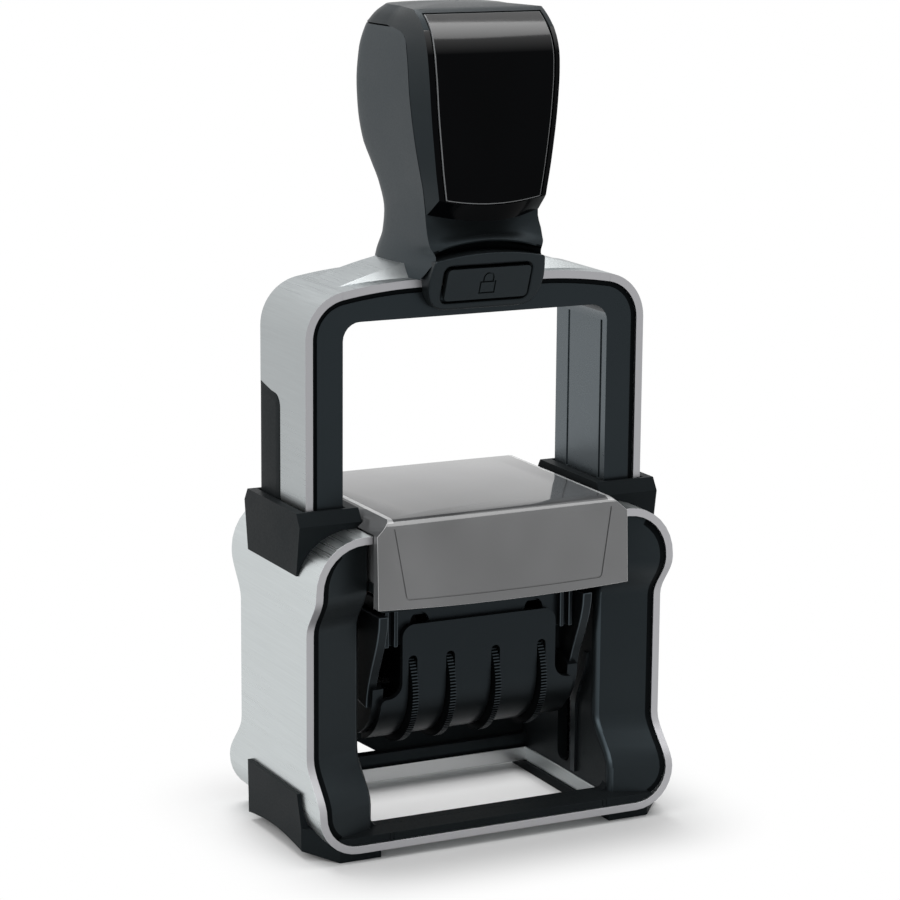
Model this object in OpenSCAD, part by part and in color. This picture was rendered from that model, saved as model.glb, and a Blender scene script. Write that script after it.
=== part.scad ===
// Self-inking date stamp on a steel clad frame. A bow with a palm handle is pressed down
// through two collars, and the dater between its legs turns over from the ink pad to the paper.
// Millimetres, +Z up, -Y is the front, origin on the table under the middle of the base.

/* [Text plate and dater] */
// Width of the rubber text plate
plate_w = 41; // [36:0.5:46]
// Depth of the rubber text plate
plate_d = 24; // [20:0.5:28]
// Thickness of the rubber text plate
plate_t = 2.6; // [2.2:0.1:3.2]
// Thickness of the tray floor under the text plate
carrier_t = 1.6; // [1.2:0.1:2]
// Rim of the plate carrier around the text plate
carrier_rim = 1; // [0.8:0.1:1.4]
// Thickness of the deck that joins the dater's cheeks
deck_t = 1.8; // [1.4:0.1:2.4]
// Height of the deck's underside above the swing axis
deck_up = 2.6; // [2.4:0.1:3.4]
// Thickness of each cheek of the dater
cheek_t = 2.2; // [1.6:0.1:2.8]
// Thickness of the curved arm on each side of the dater
arm_t = 2; // [1.4:0.1:2.4]
// Distance of the wheel axle below the swing axis
axle_drop = 12.4; // [12:0.1:12.8]
// Distance of the wheel axle in front of the swing axis
axle_front = 2; // [1.5:0.1:2.5]
// Radius of the wheel axle
axle_r = 1.5; // [1.2:0.1:1.8]
// Radius of the setting wheels over their serration
wheel_r = 11.8; // [11.4:0.1:12]
// Thickness of the serrated disc of a setting wheel
wheel_t = 1.3; // [1:0.1:1.5]
// Depth of the serration
tooth_h = 0.45; // [0.3:0.05:0.6]
// Number of teeth on a setting wheel
teeth = 60; // [40:1:72]
// Radius of the drum that drives a date band
drum_r = 6.5; // [6:0.1:7]
// Width of each date band
band_w = 3.4; // [2.6:0.1:3.6]
// Thickness of each date band
band_t = 1; // [0.8:0.1:1.2]
// Width of the front cover above the wheels
cover_w = 33; // [31:0.5:35]
// Thickness of the front cover
cover_t = 1.2; // [1:0.1:1.6]
// Distance of the centre of the cover's roll below the swing axis
roll_drop = 11; // [10.6:0.1:11.4]
// Outer radius of the cover where it rolls under the wheels
cover_r = 12.4; // [12:0.1:12.6]
// Width of the wheel slots in the cover
slot_w = 1.9; // [1.8:0.1:2.2]

/* [Base] */
// Height of the steel shoulder above the table
base_h = 62.6; // [61:0.2:66]
// Room between the text plate and the pillar wall on each side
side_room = 5; // [4.8:0.1:6]
// Width of a pillar with its steel panel
pillar_w = 12.5; // [12.3:0.1:14]
// Thickness of the pillar wall between dater and bow leg
pillar_wall = 2.2; // [1.6:0.1:2.4]
// Room between the text plate and the sills
sill_room = 4; // [4:0.1:5]
// Depth of a sill with its steel rim
sill_d = 6; // [5:0.1:7]
// Height of the front sill over the steel floor
front_sill_h = 2.3; // [1.8:0.1:3]
// Height of the rear sill over the steel floor
rear_sill_h = 5; // [3:0.1:5]
// How far the waist draws in behind the foot
waist_in = 6.2; // [4:0.1:6.6]
// How far the shoulder draws in behind the foot
shoulder_in = 1.7; // [1.4:0.1:2.4]
// Height where the foot starts to draw in
flare_low = 10; // [8:0.5:12]
// Height where the waist begins
waist_low = 19.5; // [17:0.5:22]
// Height where the waist ends
waist_high = 43.5; // [40:0.5:45]
// Height where the shoulder is at its full depth
flare_high = 52; // [50:0.5:54]
// Thickness of the steel cladding of the base
steel_t = 1.5; // [1:0.1:1.6]
// Outer radius of the bottom corners of the cladding
base_r = 8; // [6:0.5:9]
// Outer radius of the shoulders of the cladding
shoulder_r = 10; // [8:0.5:11]
// Set-back of the black liner behind the steel rim
rim_step = 0.5; // [0.2:0.1:1]
// Height of the steel floor above the table
foot_h = 1.9; // [1.5:0.1:3]
// How far the flat runner under each side ends short of the steel
runner_in = 1.5; // [1:0.1:3]
// Thickness of the foot panel outside the steel
foot_proud = 0.8; // [0.5:0.1:1.5]
// Height of the foot panel
foot_panel_h = 12.2; // [9:0.2:14]
// How far the foot panel's top ends short of the steel
foot_panel_in = 9; // [8:0.1:12]
// Height of the cam rib on the pillar wall
rib_t = 0.6; // [0.4:0.1:0.8]
// Width of the cam rib
rib_w = 1.6; // [1.2:0.1:2]

/* [Collars] */
// Height of the collars above the steel shoulder
collar_rise = 3.6; // [3:0.1:5]
// Distance that a collar's panel hangs below the steel shoulder
collar_drop = 8.4; // [7:0.2:10]
// Wall of a collar in front of and behind the bow's leg
collar_wall = 2.3; // [1.6:0.1:2.8]
// How far a collar stands out from the steel panel
collar_proud = 0.2; // [0.1:0.1:0.6]

/* [Pad and hood] */
// Gap between the printing face and the ink pad at rest
pad_gap = 0.6; // [0.5:0.1:0.8]
// Overhang of the ink pad beyond the text plate
pad_over = 1.5; // [1:0.1:1.6]
// Thickness of the ink pad
pad_t = 6; // [4:0.5:7]
// Wall of the hood
hood_t = 1.4; // [1:0.1:1.6]
// Height of the hood above the steel shoulder
hood_rise = 3.7; // [3:0.1:5]
// Height of the hood's front wall
hood_h = 17.4; // [16:0.2:18]
// How far the hood stands out in front of the base
hood_out = 0.9; // [0.5:0.1:1.5]
// Height of the rails that carry the pad
rail_h = 2; // [1.5:0.1:2.4]

/* [Bow] */
// Depth of the bow
bow_d = 21.2; // [18:0.2:21.6]
// Thickness of the steel cladding of the bow
bow_steel_t = 1.5; // [1:0.1:1.6]
// Height of the bow's crossbar with its cladding
bar_h = 7.3; // [7:0.1:9]
// Outer radius of the bow's top corners
bow_r = 9; // [7:0.5:10]
// Inner radius of the bow's corners
bow_inner_r = 3.5; // [2:0.5:5]
// Set-back of the black core behind the bow's steel rim
core_step = 0.4; // [0.2:0.1:1]
// Height left between the crossbar and the hood at full press
bow_clear = 2.8; // [2:0.1:5]
// Height of the ridge pressed into the bow's top
ridge_h = 2.7; // [1.5:0.1:3.5]
// Radius of the swing pins
pin_r = 2.2; // [1.8:0.1:2.4]
// Distance of the return springs behind the swing axis
spring_y = 6; // [5:0.1:6.6]
// Bore in each leg for its return spring
spring_bore_r = 2.3; // [2:0.1:2.4]
// Distance of the swing axis at rest below the steel shoulder
pivot_drop = 21.6; // [20.6:0.1:22]
// Depth of the leg strips from the bow's rear edge
strip_d = 9.3; // [7:0.1:11]
// Height of the leg strips above the hood
strip_up = 20; // [10:0.5:28]
// How far a leg strip stands out from the steel
strip_proud = 0.3; // [0.1:0.05:0.35]

/* [Handle and lock] */
// Height of the handle above the bow
handle_h = 50.6; // [44:0.2:58]
// Greatest width of the handle
handle_w = 31; // [27:0.2:34]
// Reach of the handle in front of the swing axis
handle_front = 16.8; // [16.4:0.1:18]
// Reach of the handle behind the swing axis
handle_back = 15.5; // [13:0.1:17]
// Corner radius of the handle's front
handle_front_r = 3; // [2:0.1:4]
// Corner radius of the handle's back
handle_back_r = 5.5; // [4:0.1:7]
// Greatest width of the gloss panel
panel_w = 25.4; // [20:0.2:26]
// Depth of the gloss panel's pocket
panel_t = 2.4; // [2:0.1:3]
// Width of the lock housing
lock_w = 24.3; // [22:0.1:26]
// How far the lock housing stands out in front of the bow
lock_out = 5; // [4.6:0.1:5.4]
// Height of the lock housing
lock_h = 10.8; // [10:0.1:11.4]
// Width of the lock button
button_w = 17.4; // [14:0.1:19]
// Height of the lock button
button_h = 5.4; // [4:0.1:6]
// Travel of the lock button
button_travel = 2; // [1:0.1:2]

/* [Fits] */
// Gap between sliding faces
slide_gap = 0.3; // [0.2:0.05:0.4]
// Radial clearance of pins, axles and wheels
run_gap = 0.05; // [0.02:0.01:0.1]
// Gap between the bow's steel and the base's steel panel
leg_gap = 0.7; // [0.7:0.05:1]
// Height of the printing face above the table at full press
print_gap = 0.4; // [0.3:0.1:0.6]

/* [Hidden] */
$fn = 48;

steel = [0.80, 0.81, 0.82];
black = [0.14, 0.15, 0.16];
soft_black = [0.20, 0.21, 0.22];
gloss = [0.05, 0.05, 0.06];
smoke = [0.50, 0.51, 0.52, 0.6];
rubber_red = [0.55, 0.25, 0.22];
ink = [0.08, 0.09, 0.25];
bright = [0.70, 0.71, 0.73];

// Reach for cuts that run right through
far = 200;
// Small overlap that lets a cut break through a face
nick = 0.01;

// Lap of the hood's front and back over the pillars
hood_lap = 1;

// The base in plan and in height
gap_x = plate_w / 2 + side_room;
base_x = gap_x + pillar_w;
window_y = plate_d / 2 + sill_room;
foot_y = window_y + sill_d;
floor_z = foot_h + steel_t;
hood_slot_x = gap_x + hood_lap;
waist_y = foot_y - waist_in;
shoulder_y = foot_y - shoulder_in;

// The feet: lean of the panel's ends, lap past the pillar, bevel of the sole and its arch
foot_lean = 2;
foot_lap = 0.8;
foot_bevel = [5, 1.5];
foot_arch = 1;

// The bow's legs inside the pillars
channel_in = gap_x + pillar_wall;
leg_in = channel_in + slide_gap;
leg_out = base_x - steel_t - leg_gap;
core_out = leg_out - bow_steel_t;
strip_out = leg_out + strip_proud;
bow_y = bow_d / 2;
core_y = bow_y - core_step;
leg_mid = (leg_in + core_out) / 2;
pin_end = core_out - 1;

// Material left around the swing pin in the leg, and the rails' height over the pad's face
pin_wall = 0.8;
rail_up = 0.7;

// Heights of the swing and of the press
pivot_z = base_h - pivot_drop;
die_r = deck_up + deck_t + carrier_t + plate_t;
press = pivot_z - die_r - print_gap;
die_z = pivot_z + die_r;
pad_z = die_z + pad_gap;
pad_x = plate_w / 2 + pad_over;
pad_y = plate_d / 2 + pad_over;
rail_z = pad_z + rail_up;
rail_top = rail_z + rail_h;
hood_z = base_h + hood_rise;
hood_low = hood_z - hood_h;
hood_y = foot_y + hood_out;
hood_wall_y = shoulder_y + slide_gap;
hood_side = gap_x - slide_gap;
hood_in = hood_side - hood_t;
hood_crown = 0.7;
hood_lean = 0.8;
hood_slope = [5.4, 1.2];
hood_under = hood_z - hood_t - hood_crown;
bar_z = hood_z + press + bow_clear;
bow_top = bar_z + bar_h;
leg_end = pivot_z - pin_r - pin_wall;
band_end = pivot_z + pin_r + 2 * pin_wall;
channel_floor = leg_end - press - slide_gap;
collar_z = base_h + collar_rise;
collar_taper = 1.6;
collar_bevel = 2.4;

// Gap between the dater's arm and the cam rib, and laps of the dater's cover
arm_gap = 0.7;
wing_lap = 0.8;
wing_drop = 2;
cover_up = 1.4;

// Wall on the rear sill: its step back, its distance from the pillars and its rise
sill_wall_in = 1.2;
sill_wall_end = 3;
sill_wall_up = 3.8;

// Walls of the dater's frame, the set-back of its cheeks, its finger notches and the reach of its arms
frame_wall = 1;
wall_up = 2;
cheek_step = 5;
notch_r = 2;
arm_reach = 4.5;
arm_foot = 1.7;

// The dater between the pillars
cheek_out = gap_x - rib_t - arm_t - arm_gap;
cheek_in = cheek_out - cheek_t;
axle_z = pivot_z - axle_drop;
roll_z = pivot_z - roll_drop;
deck_z = pivot_z + deck_up;
carrier_z = deck_z + deck_t;
plate_z = carrier_z + carrier_t;
cover_in = cover_r - cover_t;
cover_top = pivot_z + cover_up;
slot_top = axle_z + sqrt(pow(wheel_r, 2) - pow(cover_in - axle_front, 2)) + slide_gap;
wing_z = roll_z - wing_drop;
wing_x = cheek_in + wing_lap;
roll_end = 255;
roll_step = (360 - roll_end) / 9;
shell_start = roll_end + 3 * roll_step;
deck_y = plate_d / 2 - 1;
band_room = 1.3;
wheel_edge = 2.2;
bridge_r = 1.3;
bridge_z = plate_z + plate_t - bridge_r - slide_gap - band_t;
bridge_x = cover_w / 2 - wheel_edge;
band_side = wheel_t / 2 + slide_gap / 2;
wheel_share = [0, 0.28, 0.62, 0.97];
wheel_hand = [1, 1, 1, -1];
wheel_x = [for (s = wheel_share) -cover_w / 2 + wheel_edge + s * (cover_w - 2 * wheel_edge)];

// Width, depth and height of the finger slot in the pad tray
pull = [16, 1.8, 4];

// Springs and rods
rod_r = spring_bore_r - slide_gap;
rod_lap = 7;
rod_top = leg_end + rod_lap;
spring_r = spring_bore_r - slide_gap / 2;
spring_wire = 0.7;
spring_top = bar_z - bow_inner_r;

// Slant and corner of the leg strips, and the grooves down the legs' inner faces
strip_slant = 1.5;
strip_r = 2.5;
groove_y = [-8, 5];
groove = 0.3;

// The handle's form: shares of its height, half width, front reach, back reach and corner radii.
form = [
    [0.22, 0.78, 0.945, 0.71, 0.8, 1.2], [0.235, 0.80, 0.965, 0.72, 1, 1.25],
    [0.32, 0.835, 0.975, 0.76, 1, 1.25], [0.40, 0.89, 0.985, 0.84, 1, 1.2],
    [0.48, 0.94, 0.995, 0.95, 1, 1.1], [0.60, 0.985, 1, 0.99, 1, 1],
    [0.70, 1, 1, 1, 1, 1], [0.81, 0.993, 0.98, 0.97, 1, 1],
    [0.90, 0.935, 0.89, 0.89, 1.1, 1], [0.955, 0.85, 0.75, 0.79, 1.3, 0.9],
    [0.985, 0.76, 0.62, 0.70, 1.3, 0.9], [1, 0.62, 0.5, 0.58, 1.3, 0.9]
];
neck = [
    [0, 0.95, 0.56, 0.68, 0.7, 0.75], [0.07, 0.895, 0.6, 0.70, 0.8, 1.1],
    [0.14, 0.81, 0.66, 0.695, 0.8, 1.25], [0.22, 0.78, 0.68, 0.70, 0.8, 1.25],
    [0.30, 0.79, 0.68, 0.72, 0.8, 1.25]
];
// Shares of the handle that place its seam and its panel
seam_foot = 0.86;
seam_knee = [0.44, 0.8];
seam_high = 0.915;
panel_span = [0.29, 0.965];
panel_taper = 0.16;
seam_top = bow_top + seam_high * handle_h;
shell_low = bow_top + form[0][0] * handle_h;

// Points on a circle's arc
function arc(c, r, a0, a1, n = 8) =
    [for (i = [0:n]) c + r * [cos(a0 + (a1 - a0) * i / n), sin(a0 + (a1 - a0) * i / n)]];

// A smooth S between two points of an outline, upright at both ends
function flow(p, q, n = 8) = let (d = q - p)
    [for (t = [0:1 / n:1]) p + [d[0] * t * t * (3 - 2 * t), d[1] * t]];

// A list of points in the other order
function back(p) = [for (i = [len(p) - 1:-1:0]) p[i]];

// Points mirrored to the other side of an outline's upright axis
function flip(p) = [for (q = back(p)) [-q[0], q[1]]];

// The cladding's outline seen from the front, drawn in by a wall
function base_outline(wall) = let (
    x = base_x,
    right = concat(
        arc([x - base_r, foot_h + base_r], base_r - wall, -90, 0),
        arc([x - shoulder_r, base_h - shoulder_r], shoulder_r - wall, 0, 90)
    )) concat(right, flip(right));

// Half of the base's waisted outline seen from the side, and the whole of it
function waist_half(step) = concat(
    [[foot_y - step, 0]],
    flow([foot_y - step, flare_low], [waist_y - step, waist_low]),
    flow([waist_y - step, waist_high], [shoulder_y - step, flare_high]),
    [[shoulder_y - step, base_h + hood_rise]]);
function waist_outline(step) = concat(waist_half(step), flip(waist_half(step)));

// A collar seen from the side, grown by a gap
function collar_outline(gap) = let (
    half = bow_y + slide_gap + collar_wall + gap,
    right = [
        [half - collar_taper, base_h - collar_drop - gap],
        [half, collar_z - collar_bevel],
        [half - collar_wall * 2 / 3, collar_z]
    ]) concat(right, flip(right));

// The bow's outline seen from the front, drawn in by a wall
tilt = 10;
crown_flat = 12;
ridge_in = 2.4;
corner_x = leg_out - bow_r;
crown_r = (corner_x + bow_r * sin(tilt) - crown_flat) / sin(tilt);
corner_z = bow_top - crown_r * (1 - cos(tilt)) - bow_r * cos(tilt);
function bow_outline(wall, low) = let (
    right = concat(
        [[leg_out - wall, low]],
        arc([corner_x, corner_z], bow_r - wall, 0, 90 - tilt),
        arc([crown_flat, bow_top - crown_r], crown_r - wall, 90 - tilt, 90)
    )) concat(right, flip(right));

// Two circles joined by their tangents, the first above the second
function belt(c0, r0, c1, r1) = let (
    d = c1 - c0,
    lean = atan2(d[0], -d[1]),
    open = asin((r1 - r0) / norm(d))
) concat(
    arc(c0, r0, lean + open, lean + 180 - open, 10),
    arc(c1, r1, lean + 180 - open, lean + 360 + open, 16));

// One level of the handle, a rectangle with round corners
function level(s) = let (
    z = bow_top + s[0] * handle_h,
    a = s[1] * handle_w / 2,
    f = s[2] * handle_front,
    b = s[3] * handle_back,
    fr = s[4] * handle_front_r,
    br = s[5] * handle_back_r,
    outline = concat(
        arc([a - br, b - br], br, 0, 90, 6), arc([br - a, b - br], br, 90, 180, 6),
        arc([fr - a, fr - f], fr, 180, 270, 6), arc([a - fr, fr - f], fr, 270, 360, 6)
    )) [for (p = outline) [p[0], p[1], z]];

// A skin drawn over a row of rings with as many points each
module loft(rings) {
    n = len(rings[0]);
    last = (len(rings) - 1) * n;
    sides = [
        for (k = [0:len(rings) - 2]) for (i = [0:n - 1]) let (a = k * n + i, b = k * n + (i + 1) % n)
            each [[a, a + n, b + n], [a, b + n, b]]
    ];
    lids = [[for (i = [0:n - 1]) i], [for (i = [n - 1:-1:0]) last + i]];
    polyhedron(points = [for (r = rings) each r], faces = concat(sides, lids));
}

// A front view extruded from y0 to y1
module along_y(y0, y1) {
    translate([0, y1, 0]) rotate([90, 0, 0]) linear_extrude(y1 - y0) children();
}

// A side view extruded from x0 to x1
module along_x(x0, x1) {
    translate([x0, 0, 0]) rotate([90, 0, 90]) linear_extrude(x1 - x0) children();
}

// A box between two corners
module block(p, q) {
    translate(p) cube(q - p);
}

// A round bar along X between two places
module round_x(x0, x1, y, z, r) {
    translate([x0, y, z]) rotate([0, 90, 0]) cylinder(h = x1 - x0, r = r);
}

// The same shape on the left
module left() {
    mirror([1, 0, 0]) children();
}

// Steel cladding of the base, open for the print window, the hood and the collars
module base_band() {
    color(steel) difference() {
        intersection() {
            along_y(-foot_y, foot_y) difference() {
                polygon(base_outline(0));
                polygon(base_outline(steel_t));
            }
            along_x(-base_x, base_x) polygon(waist_outline(0));
        }
        block([-hood_slot_x, -far, base_h - steel_t - nick], [hood_slot_x, far, far]);
        block([-gap_x, -window_y, -far], [gap_x, window_y, floor_z + nick]);
        along_x(gap_x, far) polygon(collar_outline(0));
        along_x(-far, -gap_x) polygon(collar_outline(0));
    }
}

// Black pillar: it guides the bow's leg, and its inner wall has the slot for the swing pin
module right_pillar() {
    slot = pin_r + slide_gap;
    color(black) union() {
        difference() {
            intersection() {
                along_y(-foot_y, foot_y) polygon(base_outline(steel_t));
                along_x(gap_x, base_x) polygon(waist_outline(rim_step));
            }
            block([channel_in, -bow_y - slide_gap, channel_floor], [far, bow_y + slide_gap, far]);
            block([0, -slot, pivot_z - press - slot], [channel_in + nick, slot, pivot_z + slot]);
        }
        cam_rib();
    }
}

module left_pillar() {
    left() right_pillar();
}

// Raised S on the pillar wall that steers the dater over
module cam_rib() {
    top = [-waist_y / 2, (waist_low + waist_high) / 2];
    low = [-pin_r - 2 * slide_gap - rib_w / 2, waist_low];
    path = concat([[low[0], floor_z + front_sill_h]], flow(low, top));
    side = [rib_w / 2, 0];
    along_x(gap_x - rib_t, gap_x)
        polygon(concat([for (p = path) p - side], [for (p = back(path)) p + side]));
}

// Bars across the base in front of and behind the print window
module front_sill() {
    color(black) block([-gap_x, rim_step - foot_y, floor_z], [gap_x, -window_y, floor_z + front_sill_h]);
}

module rear_sill() {
    top = floor_z + rear_sill_h;
    half = gap_x - sill_wall_end;
    color(black) {
        block([-gap_x, window_y, floor_z], [gap_x, foot_y - rim_step, top]);
        block([-half, window_y + sill_wall_in, floor_z], [half, foot_y - sill_wall_in * 2, top + sill_wall_up]);
    }
}

// Guide collar on the shoulder, with a panel that hangs over the steel
module right_collar() {
    color(black) difference() {
        along_x(gap_x, base_x + collar_proud) polygon(collar_outline(0));
        along_y(-far, far) polygon(base_outline(steel_t));
        block([channel_in, -bow_y - slide_gap, 0], [strip_out + slide_gap, bow_y + slide_gap, far]);
    }
}

module left_collar() {
    left() right_collar();
}

// Foot: a flat runner under the steel and a panel up its side
module right_foot() {
    runner = foot_y - runner_in;
    panel = foot_y - foot_panel_in;
    skirt = panel + foot_lean;
    outer = base_x + foot_proud;
    inner = gap_x - foot_lap;
    shoe = base_x - foot_bevel[0];
    sole = outer - runner + skirt;
    arch = skirt / far * 180 / PI;
    hip = base_r - foot_lean;
    color(black) difference() {
        intersection() {
            linear_extrude(foot_panel_h) polygon([
                [inner, -runner], [sole, -runner], [outer, -skirt],
                [outer, skirt], [sole, runner], [inner, runner]
            ]);
            along_x(0, outer) polygon([
                [-runner, 0], [runner, 0], [runner, hip], [skirt, hip], [panel, foot_panel_h],
                [-panel, foot_panel_h], [-skirt, hip], [-runner, hip]
            ]);
        }
        along_y(-far, far) polygon(base_outline(0));
        along_y(-far, far) polygon([[shoe, -nick], [outer + nick, -nick], [outer + nick, foot_bevel[1]]]);
        along_x(shoe, far) polygon(arc([0, foot_arch - far], far, 90 - arch, 90 + arch));
    }
}

module left_foot() {
    left() right_foot();
}

// Rail on the pillar wall that carries the pad tray
module right_pad_rail() {
    color(black) block(
        [pad_x + slide_gap, rim_step + slide_gap - shoulder_y, rail_z],
        [gap_x, shoulder_y - rim_step - slide_gap, rail_top]);
}

module left_pad_rail() {
    left() right_pad_rail();
}

// Smoked hood over the pad, open at the back for the tray
module pad_hood() {
    shoulder = base_h + slide_gap;
    bow = [for (i = [-3:3]) i / 4];
    top_x = gap_x - 2 * hood_lap;
    low_x = gap_x + hood_lap;
    right = [[low_x, hood_low], [low_x, shoulder], [top_x, hood_z - hood_crown]];
    front = concat(
        right,
        [for (t = back(bow)) [top_x * t, hood_z - hood_crown * t * t]],
        flip(right),
        [for (t = bow) [low_x * t, hood_low - hood_crown * (1 - t * t)]]);
    side = [
        [hood_y, hood_low - hood_crown],
        [hood_y - hood_lean, hood_z - hood_slope[1]],
        [hood_y - hood_slope[0], hood_z]
    ];
    clear = [gap_x - slide_gap, far];
    color(smoke) difference() {
        intersection() {
            along_y(-hood_y, hood_y) polygon(front);
            along_x(-far, far) polygon(concat(side, flip(side)));
        }
        block([-hood_in, -hood_wall_y, 0], [hood_in, far, hood_under]);
        block([-far, -hood_wall_y, 0], [far, hood_wall_y, rail_top]);
        for (s = [-1, 1]) {
            block([min(s * clear), -hood_wall_y, 0], [max(s * clear), hood_wall_y, shoulder]);
            along_x(min(s * clear), max(s * clear)) polygon(collar_outline(slide_gap));
        }
    }
}

// Rod under the return spring and the spring in the bow's leg
module right_spring_rod() {
    color(bright) translate([leg_mid, spring_y, channel_floor])
        cylinder(h = rod_top - channel_floor, r = rod_r);
}

module left_spring_rod() {
    left() right_spring_rod();
}

module right_return_spring() {
    color(bright) translate([leg_mid, spring_y, rod_top]) difference() {
        cylinder(h = spring_top - rod_top, r = spring_r);
        translate([0, 0, -nick]) cylinder(h = far, r = spring_r - spring_wire);
    }
}

module left_return_spring() {
    left() right_return_spring();
}

// Tray that holds the ink pad and pulls out at the back
module pad_tray() {
    x = hood_in - slide_gap;
    top = hood_under - slide_gap;
    low = rail_top + slide_gap;
    rear = hood_y - hood_t;
    color(black) difference() {
        block([-x, slide_gap - hood_wall_y, low], [x, rear, top]);
        block([-pad_x, -pad_y, 0], [pad_x, pad_y, pad_z + pad_t]);
        block([-pull[0] / 2, rear - pull[1], top - 2 * pull[2]], [pull[0] / 2, far, top - pull[2]]);
    }
}

module ink_pad() {
    fit = [run_gap, run_gap, 0];
    color(ink) block([-pad_x, -pad_y, pad_z] + fit, [pad_x, pad_y, pad_z + pad_t] - fit);
}

// Cut-out and inlay on the outer side of a leg
function strip_outline() = let (top = hood_z + strip_up, front = bow_y - strip_d) concat(
    [[front, band_end], [bow_y, band_end], [bow_y, top]],
    arc([front + strip_r, top - strip_slant - strip_r], strip_r, 100, 180, 4));

// Steel cladding of the bow with the ridges pressed into its top
module bow_band() {
    color(steel) difference() {
        union() {
            along_y(-bow_y, bow_y) difference() {
                polygon(bow_outline(0, band_end));
                polygon(bow_outline(bow_steel_t, band_end - 1));
            }
            bow_ridge();
            left() bow_ridge();
        }
        along_x(core_out - nick, far) polygon(strip_outline());
        along_x(-far, nick - core_out) polygon(strip_outline());
    }
}

// One ridge, high at the neck and fading out towards the corner
module bow_ridge() {
    deep = bow_steel_t / 2;
    color(steel) difference() {
        loft([
            for (i = [0:6]) let (
                t = i / 6,
                x = crown_flat + t * corner_x - t * crown_flat,
                z = bow_top - crown_r + sqrt(pow(crown_r, 2) - pow(x - crown_flat, 2)),
                h = ridge_h * (1 - t) + nick,
                foot = bow_y - ridge_in * (1 + t),
                top = foot - ridge_in * (1 - t) - nick
            ) [[x, -foot, z - deep], [x, foot, z - deep], [x, top, z + h], [x, -top, z + h]]
        ]);
        loft([for (s = neck) level(s)]);
    }
}

// Black core of the bow: crossbar and legs, bored for the springs, the pins and the lock bolt
module bow_core() {
    inner = concat(
        [[leg_in, -far]],
        arc([leg_in - bow_inner_r, bar_z - bow_inner_r], bow_inner_r, 0, 90, 6));
    color(black) difference() {
        along_y(-core_y, core_y) difference() {
            polygon(bow_outline(bow_steel_t, leg_end));
            polygon(concat(inner, flip(inner)));
        }
        for (s = [-1, 1]) {
            translate([s * leg_mid, spring_y, 0]) cylinder(h = spring_top, r = spring_bore_r);
            for (y = groove_y)
                translate([s * leg_in, y, 0])
                    block([-groove, -groove, collar_z], [groove, groove, spring_top]);
        }
        round_x(-pin_end, pin_end, 0, pivot_z, pin_r + run_gap);
        block(
            [-bolt_x, -far, bolt_z] - bolt_gap,
            [bolt_x, bolt_back + button_travel, bolt_z + bolt_h] + bolt_gap);
    }
}

module right_leg_strip() {
    color(black) along_x(core_out, strip_out) polygon(strip_outline());
}

module left_leg_strip() {
    left() right_leg_strip();
}

// The whole handle without its neck
module handle_form() {
    loft([for (s = form) level(s)]);
}

// Everything in front of the seam, and the cap above it, seen from the side
module seam_side() {
    low = [-seam_foot * handle_front, shell_low - 1];
    knee = [-seam_knee[0] * handle_front, bow_top + seam_knee[1] * handle_h];
    along_x(-far, far) polygon(concat(
        flow(low, knee),
        arc([knee[0] + seam_top - knee[1], knee[1]], seam_top - knee[1], 180, 90, 4),
        [[far, seam_top], [far, far], [-far, far], [-far, low[1]]]));
}

// The gloss panel's outline on the front, narrower at the bottom
module panel_side() {
    low = bow_top + panel_span[0] * handle_h;
    top = bow_top + panel_span[1] * handle_h;
    half = panel_w / 2;
    right = [for (t = [0:1 / 8:1]) [half * (1 - panel_taper * pow(1 - t, 2)), low + (top - low) * t]];
    along_y(-far, panel_t - handle_front) polygon(concat(right, flip(right)));
}

// Soft grip: neck, sides and back of the handle
module handle_grip() {
    color(soft_black) union() {
        difference() {
            handle_form();
            seam_side();
        }
        intersection() {
            loft([for (s = neck) level(s)]);
            block([-far, -far, 0], [far, far, shell_low + nick]);
        }
    }
}

// Hard shell over the front and the top of the handle
module handle_strap() {
    color(black) difference() {
        intersection() {
            handle_form();
            seam_side();
        }
        panel_side();
    }
}

// Gloss panel let into the shell
module handle_insert() {
    color(gloss) intersection() {
        handle_form();
        panel_side();
    }
}

// The lock in front of the crossbar
lock_z = bar_z + slide_gap;
lock_front = bow_y + lock_out;
lock_r = 3;
lock_arch = 0.8;
button_z = lock_z + (lock_h - lock_arch - button_h) / 2;
button_out = 0.4;
button_back = bow_y + button_travel + slide_gap;
bolt_x = 2.5;
bolt_h = 2.4;
bolt_deep = 4;
bolt_z = button_z + slide_gap;
bolt_back = bolt_deep - core_y;
bolt_gap = [slide_gap, slide_gap, slide_gap];

// Front view of the lock housing, with round lower corners and an arched top
module lock_front_view() {
    half = lock_w / 2;
    polygon(concat(
        arc([half - lock_r, lock_z + lock_r], lock_r, -90, 0, 6),
        [for (i = [0:6]) [half * (1 - i / 3), lock_z + lock_h - lock_arch * pow(1 - i / 3, 2)]],
        arc([lock_r - half, lock_z + lock_r], lock_r, 180, 270, 6)));
}

module lock_housing() {
    half = button_w / 2 + slide_gap;
    color(black) difference() {
        union() {
            along_y(-lock_front, -bow_y) lock_front_view();
            intersection() {
                along_y(-bow_y - nick, -core_y) lock_front_view();
                block([-far, -far, 0], [far, far, bow_top - 2 * bow_steel_t]);
            }
        }
        block([-half, -far, button_z - slide_gap], [half, far, button_z + button_h + slide_gap]);
    }
}

module lock_button() {
    front = lock_front + button_out;
    half = button_w / 2;
    color(black) block([-half, -front, button_z], [half, -button_back, button_z + button_h]);
}

module lock_bolt() {
    color(bright) block([-bolt_x, -button_back, bolt_z], [bolt_x, bolt_back, bolt_z + bolt_h]);
}

// Pins on which the dater hangs between the bow's legs
module right_pivot_pin() {
    color(bright) round_x(cheek_in + slide_gap, pin_end, 0, pivot_z, pin_r);
}

module left_pivot_pin() {
    left() right_pivot_pin();
}

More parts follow.
